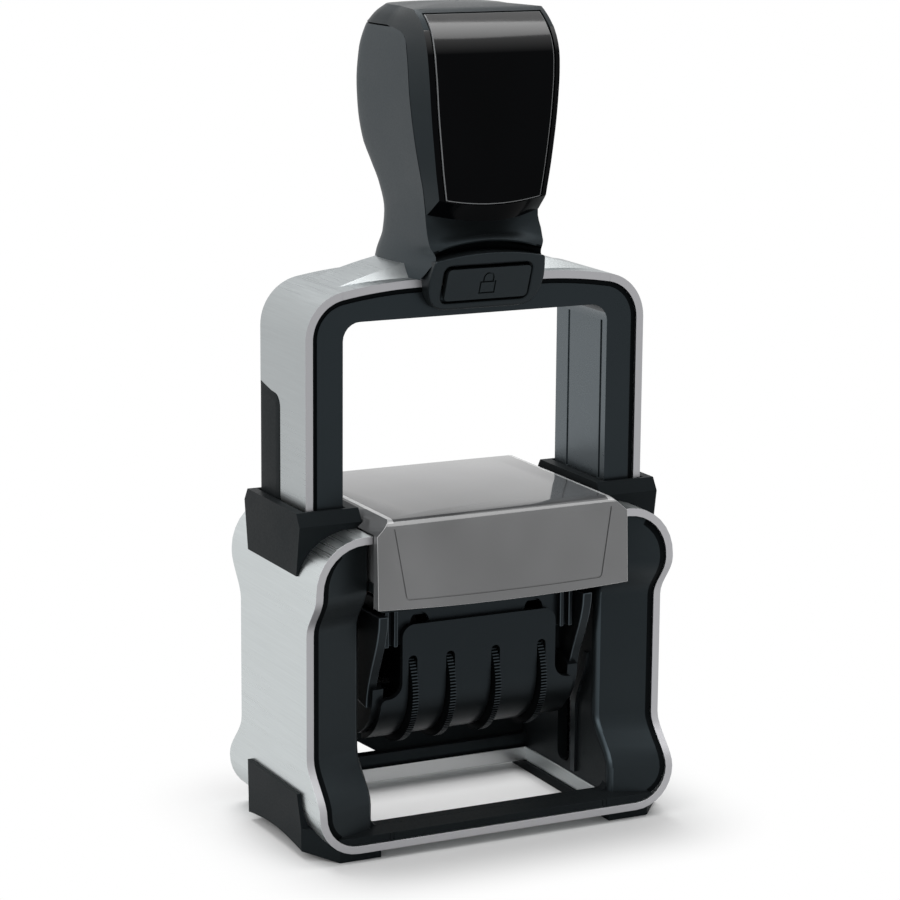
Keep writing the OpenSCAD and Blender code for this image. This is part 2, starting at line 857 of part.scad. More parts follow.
// Cheeks, deck, front wall and slotted rear shell of the dater
module dater_frame() {
    front = cheek_step - deck_y;
    cheek = concat(
        arc([0, roll_z], cover_in, 180, roll_end),
        arc([0, roll_z], cover_in, roll_end + roll_step, 360),
        [[cover_in, slot_top], [deck_y, deck_z], [front, deck_z], [front, roll_z + wing_drop]]);
    step = [frame_wall, 0];
    shell = concat(
        arc([0, roll_z], cover_in, shell_start, 360, 6),
        [[cover_in, slot_top], [deck_y, deck_z], [deck_y, deck_z] - step, [cover_in, slot_top] - step],
        arc([0, roll_z], cover_in - frame_wall, 360, shell_start, 6));
    slot_y = bridge_r + band_t + band_room * 2;
    color(black) difference() {
        union() {
            for (s = [0, 1]) mirror([s, 0, 0]) along_x(cheek_in, cheek_out) polygon(cheek);
            along_x(-cheek_in - nick, cheek_in + nick) polygon(shell);
            block([-cheek_out, -deck_y, deck_z], [cheek_out, deck_y, carrier_z]);
            block([-cheek_out, -deck_y, slot_top + wall_up], [cheek_out, frame_wall - deck_y, deck_z + nick]);
        }
        block([-bridge_x, -slot_y, 0], [bridge_x, slot_y, far]);
        for (x = wheel_x) block([x - slot_w / 2, 0, 0], [x + slot_w / 2, far, roll_z]);
        for (s = [-1, 1])
            translate([s * (bridge_x - notch_r), frame_wall - deck_y + nick, cover_top])
                rotate([90, 0, 0]) cylinder(h = far, r = notch_r);
        round_x(-far, far, 0, pivot_z, pin_r + run_gap);
        round_x(-far, far, -axle_front, axle_z, axle_r + run_gap);
    }
}

// Front cover of the dater, slotted for the wheels and rolled under them
module dater_cover() {
    roll = concat(arc([0, roll_z], cover_r, 180, roll_end), arc([0, roll_z], cover_in, roll_end, 180));
    color(black) difference() {
        union() {
            along_x(-cover_w / 2, cover_w / 2)
                polygon(concat([[-cover_r, cover_top]], roll, [[-cover_in, cover_top]]));
            intersection() {
                along_x(-wing_x, wing_x) polygon(roll);
                block([-far, -far, 0], [far, far, wing_z]);
            }
        }
        for (x = wheel_x) block([x - slot_w / 2, -far, 0], [x + slot_w / 2, 0, slot_top]);
    }
}

// Curved arm that closes the side of the dater
module right_arm() {
    front = flow([arm_foot - cover_in, wing_z - wing_drop], [-deck_y - arm_reach, carrier_z]);
    rear = flow([axle_front, wing_z], [-deck_y / 2, carrier_z]);
    color(black) along_x(cheek_out, cheek_out + arm_t) difference() {
        polygon(concat(front, back(rear)));
        translate([0, pivot_z]) circle(r = pin_r + slide_gap);
    }
}

module left_arm() {
    left() right_arm();
}

module wheel_axle() {
    color(bright) round_x(-cheek_out, cheek_out, -axle_front, axle_z, axle_r);
}

// Bar over which the date bands turn at the printing face
module band_bridge() {
    color(black) union() {
        block([-bridge_x, -bridge_r, deck_z], [bridge_x, bridge_r, bridge_z]);
        round_x(-bridge_x, bridge_x, 0, bridge_z, bridge_r);
    }
}

// Tray under the text plate
module plate_carrier() {
    x = plate_w / 2;
    y = plate_d / 2;
    rim = [carrier_rim, carrier_rim, 0];
    slot_y = bridge_r + band_t + band_room * 1.5;
    color(black) difference() {
        block([-x, -y, carrier_z] - rim, [x, y, plate_z + carrier_rim] + rim);
        block([-x, -y, plate_z], [x, y, far]);
        block([-bridge_x, -slot_y, 0], [bridge_x, slot_y, far]);
    }
}

// Rubber text plate with an opening for the date
module text_plate() {
    slot_y = bridge_r + band_t + band_room;
    color(rubber_red) difference() {
        block([-plate_w / 2, -plate_d / 2, plate_z], [plate_w / 2, plate_d / 2, plate_z + plate_t]);
        block([-bridge_x, -slot_y, 0], [bridge_x, slot_y, far]);
    }
}

// Place of a date band beside its wheel
function band_x(i) = wheel_hand[i] > 0 ? wheel_x[i] + band_side : wheel_x[i] - band_side - band_w;

// Endless band from the drum to the bridge
module date_band(i) {
    top = [0, bridge_z];
    low = [-axle_front, axle_z];
    inner = bridge_r + slide_gap;
    drum = drum_r + slide_gap;
    color(rubber_red) along_x(band_x(i), band_x(i) + band_w) difference() {
        polygon(belt(top, inner + band_t, low, drum + band_t));
        polygon(belt(top, inner, low, drum));
    }
}

// Serrated disc with the drum that drives its band
module setting_wheel(i) {
    step = 180 / teeth;
    edge = [for (k = [0:2 * teeth - 1]) (wheel_r - (k % 2) * tooth_h) * [cos(k * step), sin(k * step)]];
    x = wheel_x[i];
    color(black) difference() {
        union() {
            translate([0, -axle_front, axle_z]) along_x(x - wheel_t / 2, x + wheel_t / 2) polygon(edge);
            round_x(min(x, band_x(i)), max(x, band_x(i) + band_w), -axle_front, axle_z, drum_r);
        }
        round_x(-far, far, -axle_front, axle_z, axle_r + run_gap);
    }
}

base_band();
left_pillar();
right_pillar();
front_sill();
rear_sill();
left_collar();
right_collar();
left_foot();
right_foot();
left_pad_rail();
right_pad_rail();
pad_hood();
left_spring_rod();
right_spring_rod();
left_return_spring();
right_return_spring();
pad_tray();
ink_pad();
bow_band();
bow_core();
left_leg_strip();
right_leg_strip();
handle_grip();
handle_strap();
handle_insert();
lock_housing();
left_pivot_pin();
right_pivot_pin();
lock_button();
lock_bolt();
dater_frame();
dater_cover();
left_arm();
right_arm();
wheel_axle();
band_bridge();
plate_carrier();
text_plate();
date_band(0);  // date_band_1
date_band(1);  // date_band_2
date_band(2);  // date_band_3
date_band(3);  // date_band_4
setting_wheel(0);  // setting_wheel_1
setting_wheel(1);  // setting_wheel_2
setting_wheel(2);  // setting_wheel_3
setting_wheel(3);  // setting_wheel_4
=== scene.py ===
"""Looks of the self-inking date stamp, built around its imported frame.

Sizes in the classes are millimetres, as on the drawing. Meshes are made in metres.
"""
import logging
import math
from abc import ABC, abstractmethod
from dataclasses import dataclass
from enum import Enum
from typing import Callable, Sequence

import bmesh
import bpy
from mathutils import Matrix, Vector


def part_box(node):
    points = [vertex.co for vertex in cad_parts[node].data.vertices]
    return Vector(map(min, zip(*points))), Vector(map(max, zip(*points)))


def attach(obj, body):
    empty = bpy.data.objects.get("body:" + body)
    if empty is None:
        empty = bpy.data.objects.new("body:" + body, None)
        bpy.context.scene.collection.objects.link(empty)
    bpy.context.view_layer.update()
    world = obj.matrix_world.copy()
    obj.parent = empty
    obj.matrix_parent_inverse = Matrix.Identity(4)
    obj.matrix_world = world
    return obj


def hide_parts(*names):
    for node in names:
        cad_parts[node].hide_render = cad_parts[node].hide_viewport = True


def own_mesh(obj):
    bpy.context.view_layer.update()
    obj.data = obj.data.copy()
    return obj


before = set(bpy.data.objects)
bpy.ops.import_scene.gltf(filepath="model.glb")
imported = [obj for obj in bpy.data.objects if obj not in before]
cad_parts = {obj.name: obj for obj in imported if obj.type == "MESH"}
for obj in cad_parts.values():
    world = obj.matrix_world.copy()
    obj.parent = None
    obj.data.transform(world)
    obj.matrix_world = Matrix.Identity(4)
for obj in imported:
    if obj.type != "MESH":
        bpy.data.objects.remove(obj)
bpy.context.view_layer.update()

LOG = logging.getLogger("date_stamp")
Piece = bpy.types.Object
Socket = bpy.types.NodeSocket
Point = tuple[float, float, float]
Flat = tuple[float, float]
Colour = tuple[float, float, float]
# Metres in a millimetre
MM = 0.001
# How far a cutter runs past what it cuts, and a hair's breadth that keeps faces apart
PAST = 1.0
HAIR = 0.02
# Cool tint of the shine on black plastic
COOL: Colour = (0.76, 0.97, 1.1)
WHITE = (1.0, 1.0, 1.0, 1.0)
# Values of a noise between which nearly all of it lies
NOISE: Flat = (0.3, 0.7)
# Places of the setting wheels on X
WHEELS = (-14.3, -6.29, 3.43, 13.44)


class Side(Enum):
    """The two sides of the stamp, with the sign of their X."""

    LEFT = -1
    RIGHT = 1

    @property
    def word(self) -> str:
        """The side's word in the names of the nodes."""
        return self.name.lower()


class Body(Enum):
    """The bodies that move on their own."""

    BASE = "base"
    CARTRIDGE = "cartridge"
    BOW = "bow"
    LOCK = "lock"
    DATER = "dater"
    WHEEL_1 = "wheel_1"
    WHEEL_2 = "wheel_2"
    WHEEL_3 = "wheel_3"
    WHEEL_4 = "wheel_4"


class Slot(Enum):
    """The material slots of the record."""

    STEEL = "steel"
    PIN_STEEL = "pin_steel"
    BLACK_PLASTIC = "black_plastic"
    SOFT_GRIP = "soft_grip"
    GLOSS_INSERT = "gloss_insert"
    HOOD_SMOKE = "hood_smoke"
    PAD_FELT = "pad_felt"
    STAMP_RUBBER = "stamp_rubber"


class Axis(Enum):
    """The axis that an outline is extruded along, with the numbers of the two it is drawn on."""

    X = (1, 2)
    Y = (0, 2)
    Z = (0, 1)


class Merge(Enum):
    """What is done with another object and a piece."""

    CUT = "DIFFERENCE"
    JOIN = "UNION"


class Nodes:
    """A node tree, with short calls for the nodes that materials and the world share."""

    def __init__(self, tree: bpy.types.NodeTree) -> None:
        """Takes the tree."""
        self.tree = tree

    def node(self, kind: str, **values: object) -> bpy.types.Node:
        """Adds a node.

        Args:
            kind: Type of the node.
            values: Values for its unlinked inputs, by name with _ for a space.

        Returns:
            The new node.
        """
        made = self.tree.nodes.new(kind)
        for name, value in values.items():
            made.inputs[name.replace("_", " ")].default_value = value
        return made

    def link(self, source: Socket, target: Socket) -> None:
        """Joins two sockets."""
        self.tree.links.new(source, target)

    def calc(self, operation: str, *sources: Socket) -> Socket:
        """Adds a calculation.

        Args:
            operation: What is done.
            sources: The values it is done with.

        Returns:
            The result.
        """
        made = self.node("ShaderNodeMath")
        made.operation = operation
        for source, target in zip(sources, made.inputs):
            self.link(source, target)
        return made.outputs["Value"]

    def remap(self, source: Socket, **values: float) -> Socket:
        """Maps a value from one range to another.

        Args:
            source: The value.
            values: Ends of the ranges, by the names of the node's inputs with _ for a space.

        Returns:
            The mapped value.
        """
        made = self.node("ShaderNodeMapRange", **values)
        self.link(source, made.inputs["Value"])
        return made.outputs["Result"]


class Shader(Nodes):
    """A new material with one Principled shader."""

    def __init__(self, name: str) -> None:
        """Starts the material.

        Args:
            name: Name of the material.
        """
        self.material = bpy.data.materials.new(name)
        self.material.use_nodes = True
        super().__init__(self.material.node_tree)
        self.surface = self.tree.nodes["Principled BSDF"]

    def feed(self, name: str, source: Socket) -> None:
        """Leads a socket to an input of the shader."""
        self.link(source, self.surface.inputs[name])

    def fix(self, **values: object) -> None:
        """Sets inputs of the shader that are the same all over, by name with _ for a space."""
        for name, value in values.items():
            self.surface.inputs[name.replace("_", " ")].default_value = value

    def noise(self, stretch: Point, detail: float = 4.0) -> Socket:
        """Adds noise fixed to the piece.

        Args:
            stretch: Cycles of the noise in a metre along X, Y and Z.
            detail: Octaves of the noise.

        Returns:
            The noise, from 0 to 1.
        """
        place = self.node("ShaderNodeTexCoord")
        scale = self.node("ShaderNodeMapping", Scale=stretch)
        noise = self.node("ShaderNodeTexNoise", Scale=1.0, Detail=detail)
        self.link(place.outputs["Object"], scale.inputs["Vector"])
        self.link(scale.outputs["Vector"], noise.inputs["Vector"])
        return noise.outputs["Fac"]

    def span(self, source: Socket, low: float, high: float) -> Socket:
        """Maps the middle of a noise to a span of values.

        Args:
            source: The noise.
            low: Value where the noise is weak.
            high: Value where it is strong.

        Returns:
            The mapped value.
        """
        return self.remap(source, From_Min=NOISE[0], From_Max=NOISE[1], To_Min=low, To_Max=high)

    def tint(self, source: Socket, low: Colour, high: Colour) -> Socket:
        """Maps a noise to a blend of two colours.

        Args:
            source: The noise.
            low: Colour where the noise is weak.
            high: Colour where it is strong.

        Returns:
            The colour.
        """
        ramp = self.node("ShaderNodeValToRGB")
        for stop, place, colour in zip(ramp.color_ramp.elements, NOISE, (low, high)):
            stop.position = place
            stop.color = (*colour, 1.0)
        self.link(source, ramp.inputs["Fac"])
        return ramp.outputs["Color"]

    def bump(self, source: Socket, strength: float, depth: float) -> None:
        """Raises the surface by a noise.

        Args:
            source: The noise.
            strength: Share of the bump that shows.
            depth: Depth of the bump.
        """
        bump = self.node("ShaderNodeBump", Strength=strength, Distance=depth * MM)
        self.link(source, bump.inputs["Height"])
        self.feed("Normal", bump.outputs["Normal"])


@dataclass(frozen=True)
class Finish(ABC):
    """A finish that makes its material once."""

    name: str
    slot: Slot

    def material(self) -> bpy.types.Material:
        """Returns the finish's material, made on the first call.

        Returns:
            The material.
        """
        found = bpy.data.materials.get(self.name)
        if found:
            return found
        shader = Shader(self.name)
        self.paint(shader)
        return shader.material

    @abstractmethod
    def paint(self, shader: Shader) -> None:
        """Lays out the finish's nodes."""


def shade(colour: Colour, share: float) -> Colour:
    """Returns a colour made darker or lighter by a share."""
    return tuple(channel * share for channel in colour)


@dataclass(frozen=True)
class BrushedSteel(Finish):
    """Stainless sheet brushed from front to back, with duller cut edges."""

    slot: Slot = Slot.STEEL
    colour: Colour = (0.63, 0.665, 0.67)
    edge_colour: Colour = (0.42, 0.42, 0.435)
    edge_rough: float = 0.5
    edge_from: Flat = (0.45, 0.60)
    graze: Colour = (0.72, 0.73, 0.73)
    across: float = 4200.0
    along: float = 70.0

    def paint(self, shader: Shader) -> None:
        """Lays fine streaks along Y, broad clouding and a duller, darker cut edge.

        Args:
            shader: The new material's nodes.
        """
        streaks = shader.noise((self.across, self.along, self.across), detail=6.0)
        clouds = shader.noise((35.0, 12.0, 35.0), detail=3.0)
        axes = shader.node("ShaderNodeSeparateXYZ")
        shader.link(shader.node("ShaderNodeNewGeometry").outputs["True Normal"], axes.inputs["Vector"])
        edge = shader.remap(shader.calc("ABSOLUTE", axes.outputs["Y"]),
                            From_Min=self.edge_from[0], From_Max=self.edge_from[1])
        blend, dull = shader.node("ShaderNodeMix"), shader.node("ShaderNodeMix", B=self.edge_rough)
        blend.data_type = "RGBA"
        blend.inputs["B"].default_value = (*self.edge_colour, 1.0)
        for mix in (blend, dull):
            shader.link(edge, mix.inputs["Factor"])
        shader.link(shader.tint(streaks, shade(self.colour, 0.95), shade(self.colour, 1.04)), blend.inputs["A"])
        rough = shader.calc("MULTIPLY", shader.span(streaks, 0.88, 1.12), shader.span(clouds, 0.27, 0.36))
        shader.link(rough, dull.inputs["A"])
        shader.feed("Base Color", blend.outputs["Result"])
        shader.feed("Roughness", dull.outputs["Result"])
        shader.bump(streaks, 0.004, 0.015)
        shader.fix(Metallic=1.0, Specular_Tint=(*self.graze, 1.0))


@dataclass(frozen=True)
class TurnedSteel(Finish):
    """Bright steel of pins, rods and springs, with fine turning marks."""

    slot: Slot = Slot.PIN_STEEL
    colour: Colour = (0.56, 0.565, 0.57)

    def paint(self, shader: Shader) -> None:
        """Lays turning marks and faint clouding.

        Args:
            shader: The new material's nodes.
        """
        marks = shader.noise((3200.0, 700.0, 3200.0), detail=3.0)
        clouds = shader.noise((160.0, 160.0, 160.0))
        shader.feed("Base Color", shader.tint(clouds, shade(self.colour, 0.86), shade(self.colour, 1.08)))
        shader.feed("Roughness", shader.span(marks, 0.20, 0.34))
        shader.bump(marks, 0.08, 0.02)
        shader.fix(Metallic=1.0)


@dataclass(frozen=True)
class MouldedPlastic(Finish):
    """Moulded plastic with a fine spark-eroded grain."""

    slot: Slot = Slot.BLACK_PLASTIC
    colour: Colour = (0.0085, 0.0102, 0.0110)
    rough: Flat = (0.36, 0.46)
    grain: float = 2400.0
    depth: float = 0.02
    gloss: float = 0.21

    def paint(self, shader: Shader) -> None:
        """Lays the grain, the flow clouding of the moulding and faint handling marks.

        Args:
            shader: The new material's nodes.
        """
        grain = shader.noise((self.grain, self.grain, self.grain), detail=3.0)
        clouds = shader.noise((55.0, 55.0, 80.0), detail=3.0)
        shader.feed("Base Color", shader.tint(clouds, shade(self.colour, 0.82), shade(self.colour, 1.18)))
        wear = shader.calc("MULTIPLY", shader.span(grain, 0.92, 1.08), shader.span(clouds, *self.rough))
        shader.feed("Roughness", wear)
        shader.bump(grain, 0.25, self.depth)
        shader.fix(Specular_IOR_Level=self.gloss, Specular_Tint=(*COOL, 1.0))


@dataclass(frozen=True)
class GlossPlastic(Finish):
    """Polished plastic with hairline wiping marks and, when sheen_gloss is set, a specular level rising towards its
    crown: a painted sheen band.
    """

    slot: Slot = Slot.GLOSS_INSERT
    colour: Colour = (0.006, 0.007, 0.008)
    rough: Flat = (0.05, 0.08)
    gloss: float = 0.5
    # Heights over which the specular level rises to sheen_gloss: a painted sheen band.
    crown: Flat = (150.5, 156.0)
    sheen_gloss: float = 0.0

    def paint(self, shader: Shader) -> None:
        """Lays the wiping marks and a faint waviness of the polish.

        Args:
            shader: The new material's nodes.
        """
        wipes = shader.noise((240.0, 240.0, 1500.0), detail=6.0)
        waves = shader.noise((70.0, 70.0, 50.0), detail=1.0)
        shader.feed("Base Color", shader.tint(waves, shade(self.colour, 0.8), shade(self.colour, 1.2)))
        shader.feed("Roughness", shader.span(wipes, *self.rough))
        shader.bump(waves, 0.015, 0.05)
        if not self.sheen_gloss:
            shader.fix(Specular_IOR_Level=self.gloss)
            return
        # Specular level rising with height puts a painted sheen band at the crown.
        axes = shader.node("ShaderNodeSeparateXYZ")
        shader.link(shader.node("ShaderNodeTexCoord").outputs["Object"], axes.inputs["Vector"])
        polish = shader.remap(axes.outputs["Z"], From_Min=self.crown[0] * MM, From_Max=self.crown[1] * MM,
                              To_Min=self.gloss, To_Max=self.sheen_gloss)
        shader.feed("Specular IOR Level", polish)


@dataclass(frozen=True)
class StampRubber(Finish):
    """Vulcanised rubber, matt and slightly dusty."""

    slot: Slot = Slot.STAMP_RUBBER
    colour: Colour = (0.34, 0.085, 0.06)

    def paint(self, shader: Shader) -> None:
        """Lays a dusty bloom and a fine pitted skin.

        Args:
            shader: The new material's nodes.
        """
        bloom = shader.noise((180.0, 180.0, 180.0))
        pits = shader.noise((3000.0, 3000.0, 3000.0), detail=2.0)
        shader.feed("Base Color", shader.tint(bloom, shade(self.colour, 0.8), shade(self.colour, 1.25)))
        shader.feed("Roughness", shader.span(pits, 0.62, 0.78))
        shader.bump(pits, 0.3, 0.04)


@dataclass(frozen=True)
class InkFelt(Finish):
    """Felt soaked with dark ink, wet in patches."""

    slot: Slot = Slot.PAD_FELT
    colour: Colour = (0.012, 0.014, 0.035)

    def paint(self, shader: Shader) -> None:
        """Lays the fibres and the wet patches.

        Args:
            shader: The new material's nodes.
        """
        fibres = shader.noise((2600.0, 2600.0, 2600.0), detail=6.0)
        wet = shader.noise((120.0, 120.0, 120.0))
        shader.feed("Base Color", shader.tint(wet, shade(self.colour, 0.7), shade(self.colour, 1.6)))
        shader.feed("Roughness", shader.span(wet, 0.55, 0.9))
        shader.bump(fibres, 0.7, 0.15)


STEEL = BrushedSteel("brushed_steel")
# A darker copy of the brushed steel for the bow band: painted shade.
SHADED_BOW_STEEL = BrushedSteel("bow_steel_painted_shade", colour=(0.47, 0.495, 0.50), edge_colour=(0.40, 0.40, 0.415),
                         edge_from=(0.84, 0.92), graze=(0.60, 0.61, 0.62))
# On the window hem the faces towards front and back get a lighter, smoother edge colour: a painted highlight.
LIT_HEM_STEEL = BrushedSteel("hem_steel_painted_highlight", edge_colour=(0.70, 0.715, 0.72), edge_rough=0.32)
BRIGHT = TurnedSteel("bright_steel")
# A darker copy of the turned steel, for the swing pins and the axle.
DARK_STEEL = TurnedSteel("dark_turned_steel", colour=(0.085, 0.087, 0.09))
BLACK = MouldedPlastic("satin_black")
MATT_BLACK = MouldedPlastic("matt_black", rough=(0.46, 0.56), gloss=0.06)
CORE_BLACK = MouldedPlastic("bow_black", colour=(0.0050, 0.0060, 0.0066), rough=(0.28, 0.36), gloss=0.28)
# Lighter, glossier black on the dater's rounded edges: painted highlight lines.
PAINTED_EDGE_BLACK = MouldedPlastic("painted_edge_highlight_black", colour=(0.018, 0.020, 0.022), rough=(0.26, 0.34), depth=0.004, gloss=0.75)
EDGE_BLACK = MouldedPlastic("edge_black", rough=(0.3, 0.38), depth=0.004, gloss=0.62)
# Lighter, glossier black for the faces round the bow's opening: painted sheen.
INNER_SHEEN_BLACK = MouldedPlastic("inner_black_painted_sheen", colour=(0.014, 0.0165, 0.018), rough=(0.24, 0.32), depth=0.007, gloss=1.0)
DATER_BLACK = MouldedPlastic("dater_black", colour=(0.0050, 0.0058, 0.0064), rough=(0.28, 0.38), gloss=0.2)
WHEEL_BLACK = MouldedPlastic("wheel_black", colour=(0.0050, 0.0056, 0.0062), rough=(0.3, 0.4), gloss=0.45)
# Near-black for painted shade: the pillars' outer slopes beside the steel, the core's groove floor, the neck's hollow
# and the wheels' tooth roots.
SHADE_BLACK = MouldedPlastic("painted_shade_black", colour=(0.0010, 0.0011, 0.0012), rough=(0.6, 0.7), gloss=0.06)
GRIP = MouldedPlastic("soft_touch_grip", Slot.SOFT_GRIP, (0.019, 0.0225, 0.0245), (0.44, 0.54), 3000.0, 0.03, 0.34)
# The gloss panel's specular level rises towards its top: a painted sheen band.
GLOSS = GlossPlastic("gloss_black", colour=(0.0010, 0.0012, 0.0016), rough=(0.11, 0.15), gloss=0.03, sheen_gloss=0.9)
# Light grey on the gloss panel's rounded rim: a painted highlight line.
GLOSS_RIM_HIGHLIGHT = GlossPlastic("gloss_rim_painted_highlight", colour=(0.11, 0.115, 0.12), rough=(0.14, 0.2), gloss=0.8)
SMOKE = GlossPlastic("smoked_hood", Slot.HOOD_SMOKE, (0.106, 0.108, 0.111), (0.045, 0.075), 1.0)
# Light grey on the hood's rims: a painted highlight.
SMOKE_RIM_HIGHLIGHT = GlossPlastic("smoked_hood_painted_rim_highlight", Slot.HOOD_SMOKE, (0.56, 0.565, 0.57), (0.1, 0.15), 0.8)
RUBBER = StampRubber("stamp_rubber")
BAND_RUBBER = StampRubber("band_rubber", colour=(0.012, 0.012, 0.013))
FELT = InkFelt("ink_felt")


@dataclass(frozen=True)
class Run:
    """A smooth run of one value over rising places, without overshoot."""

    stations: tuple[Flat, ...]

    def slope(self, k: int) -> float:
        """Returns the slope at a station.

        Args:
            k: Number of the station.

        Returns:
            The slope, 0 at a crest or a trough.
        """
        steps = [(q[1] - p[1]) / (q[0] - p[0]) for p, q in zip(self.stations, self.stations[1:])]
        if k == 0 or k == len(steps):
            return steps[min(k, len(steps) - 1)]
        before, after = steps[k - 1], steps[k]
        return 2 * before * after / (before + after) if before * after > 0 else 0.0

    def at(self, place: float) -> float:
        """Reads the run.

        Args:
            place: Where to read it.

        Returns:
            The value there, held beyond the first and last station.
        """
        if place <= self.stations[0][0]:
            return self.stations[0][1]
        if place >= self.stations[-1][0]:
            return self.stations[-1][1]
        k = max(i for i, station in enumerate(self.stations) if station[0] <= place)
        (p0, v0), (p1, v1) = self.stations[k], self.stations[k + 1]
        width = p1 - p0
        t = (place - p0) / width
        rise = v1 - v0
        m0, m1 = self.slope(k) * width, self.slope(k + 1) * width
        return v0 + t * (m0 + t * (3 * rise - 2 * m0 - m1 + t * (m0 + m1 - 2 * rise)))


def ease_in(t: float) -> float:
    """Returns t held between 0 and 1 and smoothed at both ends."""
    held = min(max(t, 0.0), 1.0)
    return held * held * (3 - 2 * held)


def arc(centre: Flat, radius: float, start: float, end: float, steps: int) -> list[Flat]:
    """Draws a circle's arc.

    Args:
        centre: Centre of the circle.
        radius: Its radius.
        start: First angle in degrees.
        end: Last angle in degrees.
        steps: Number of straight pieces.

    Returns:
        The points of the arc.
    """
    angles = [math.radians(start + (end - start) * i / steps) for i in range(steps + 1)]
    return [(centre[0] + radius * math.cos(a), centre[1] + radius * math.sin(a)) for a in angles]


def both_sides(right: Sequence[Flat]) -> list[Flat]:
    """Returns the right half of an outline and, after it, its mirror image in reverse."""
    return [*right, *((-x, z) for x, z in reversed(right))]


def rectangle(left: float, low: float, right: float, high: float) -> list[Flat]:
    """Returns the corners of a rectangle."""
    return [(left, low), (right, low), (right, high), (left, high)]


def levels(start: float, *stages: Flat) -> list[float]:
    """Returns heights that rise in stages.

    Args:
        start: The lowest height.
        stages: End of each stage, and about how far its heights are apart.

    Returns:
        The heights.
    """
    heights = [start]
    for end, step in stages:
        low = heights[-1]
        count = max(round((end - low) / step), 1)
        heights += [low + (end - low) * i / count for i in range(1, count)] + [end]
    return heights


def node_box(node: str) -> tuple[Vector, Vector]:
    """Returns the lowest and highest corner of a CAD node in millimetres."""
    low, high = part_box(node)
    return low / MM, high / MM


def add_object(name: str, mesh: bpy.types.Mesh) -> Piece:
    """Puts a mesh into the scene as an object.

    Args:
        name: Name of the object.
        mesh: Its mesh.

    Returns:
        The object.
    """
    made = bpy.data.objects.new(name, mesh)
    bpy.context.scene.collection.objects.link(made)
    return made


def add_mesh(name: str, points: Sequence[Point], faces: Sequence[Sequence[int]]) -> Piece:
    """Makes an object from points and faces.

    Args:
        name: Name of the object.
        points: Points in millimetres.
        faces: Rows of point numbers.

    Returns:
        The object.
    """
    mesh = bpy.data.meshes.new(name)
    mesh.from_pydata([Vector(point) * MM for point in points], [], faces)
    mesh.update()
    return add_object(name, mesh)


def outward(piece: Piece) -> Piece:
    """Turns the normals of a closed piece outward.

    Args:
        piece: The object to work on.

    Returns:
        The piece.
    """
    with Workbench(piece) as bench:
        bmesh.ops.recalc_face_normals(bench.mesh, faces=bench.mesh.faces)
    return piece


def loft(name: str, rings: Sequence[Sequence[Point]]) -> Piece:
    """Skins a row of closed rings and closes its ends.

    Args:
        name: Name of the object.
        rings: Rings with as many points each, in millimetres.

    Returns:
        The object, with its normals outward.
    """
    count, last = len(rings[0]), len(rings) - 1
    faces = [range(count), range(last * count, (last + 1) * count)]
    for start in range(0, last * count, count):
        for i in range(count):
            a, b = start + i, start + (i + 1) % count
            faces.append((a, b, b + count, a + count))
    return outward(add_mesh(name, [point for ring in rings for point in ring], faces))


def prism(name: str, outline: Sequence[Flat], axis: Axis, low: float, high: float) -> Piece:
    """Extrudes an outline along an axis.

    Args:
        name: Name of the object.
        outline: Points of the outline on the two other axes.
        axis: Axis of the extrusion.
        low: Where it starts.
        high: Where it ends.

    Returns:
        The object, with its normals outward.
    """
    first, second = axis.value
    rings = []
    for level in (low, high):
        ring = []
        for u, v in outline:
            point = [level, level, level]
            point[first], point[second] = u, v
            ring.append(tuple(point))
        rings.append(ring)
    return loft(name, rings)


def patch(name: str, rings: Sequence[Sequence[Point]], wanted: Callable[[int, int], bool]) -> Piece:
    """Skins a stack of closed rings, leaving out some of its cells.

    Args:
        name: Name of the object.
        rings: Rings with as many points each, from low to high, clockwise seen from above.
        wanted: Says for a row and a column whether that cell is made.

    Returns:
        The object, with its normals outward.
    """
    count = len(rings[0])
    cells = []
    for row in range(len(rings) - 1):
        for column in range(count):
            if wanted(row, column):
                a, b = row * count + column, row * count + (column + 1) % count
                cells.append((a, a + count, b + count, b))
    used = sorted({corner for cell in cells for corner in cell})
    number = {corner: i for i, corner in enumerate(used)}
    flat = [point for ring in rings for point in ring]
    return add_mesh(name, [flat[corner] for corner in used], [[number[c] for c in cell] for cell in cells])


class Workbench:
    """Opens an object's mesh for editing and writes it back."""

    def __init__(self, piece: Piece) -> None:
        """Takes the object to work on."""
        self.piece = piece
        self.mesh = bmesh.new()

    def __enter__(self) -> "Workbench":
        """Reads the mesh."""
        self.mesh.from_mesh(self.piece.data)
        return self

    def __exit__(self, *_: object) -> None:
        """Writes the mesh back."""
        self.mesh.to_mesh(self.piece.data)
        self.mesh.free()
        self.piece.data.update()


def take_node(node: str, name: str) -> Piece:
    """Copies a CAD node into a new piece with welded corners and whole flat faces.

    Args:
        node: The CAD node.
        name: Name of the piece.

    Returns:
        The piece.
    """
    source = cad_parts[node].data
    piece = add_object(name, bpy.data.meshes.new(name))
    with Workbench(piece) as bench:
        corners = [bench.mesh.verts.new(vertex.co) for vertex in source.vertices]
        for polygon in source.polygons:
            bench.mesh.faces.new([corners[i] for i in polygon.vertices])
        bmesh.ops.remove_doubles(bench.mesh, verts=bench.mesh.verts, dist=0.002 * MM)
        bmesh.ops.dissolve_limit(
            bench.mesh, angle_limit=math.radians(0.6), verts=bench.mesh.verts, edges=bench.mesh.edges)
        bmesh.ops.recalc_face_normals(bench.mesh, faces=bench.mesh.faces)
    return piece


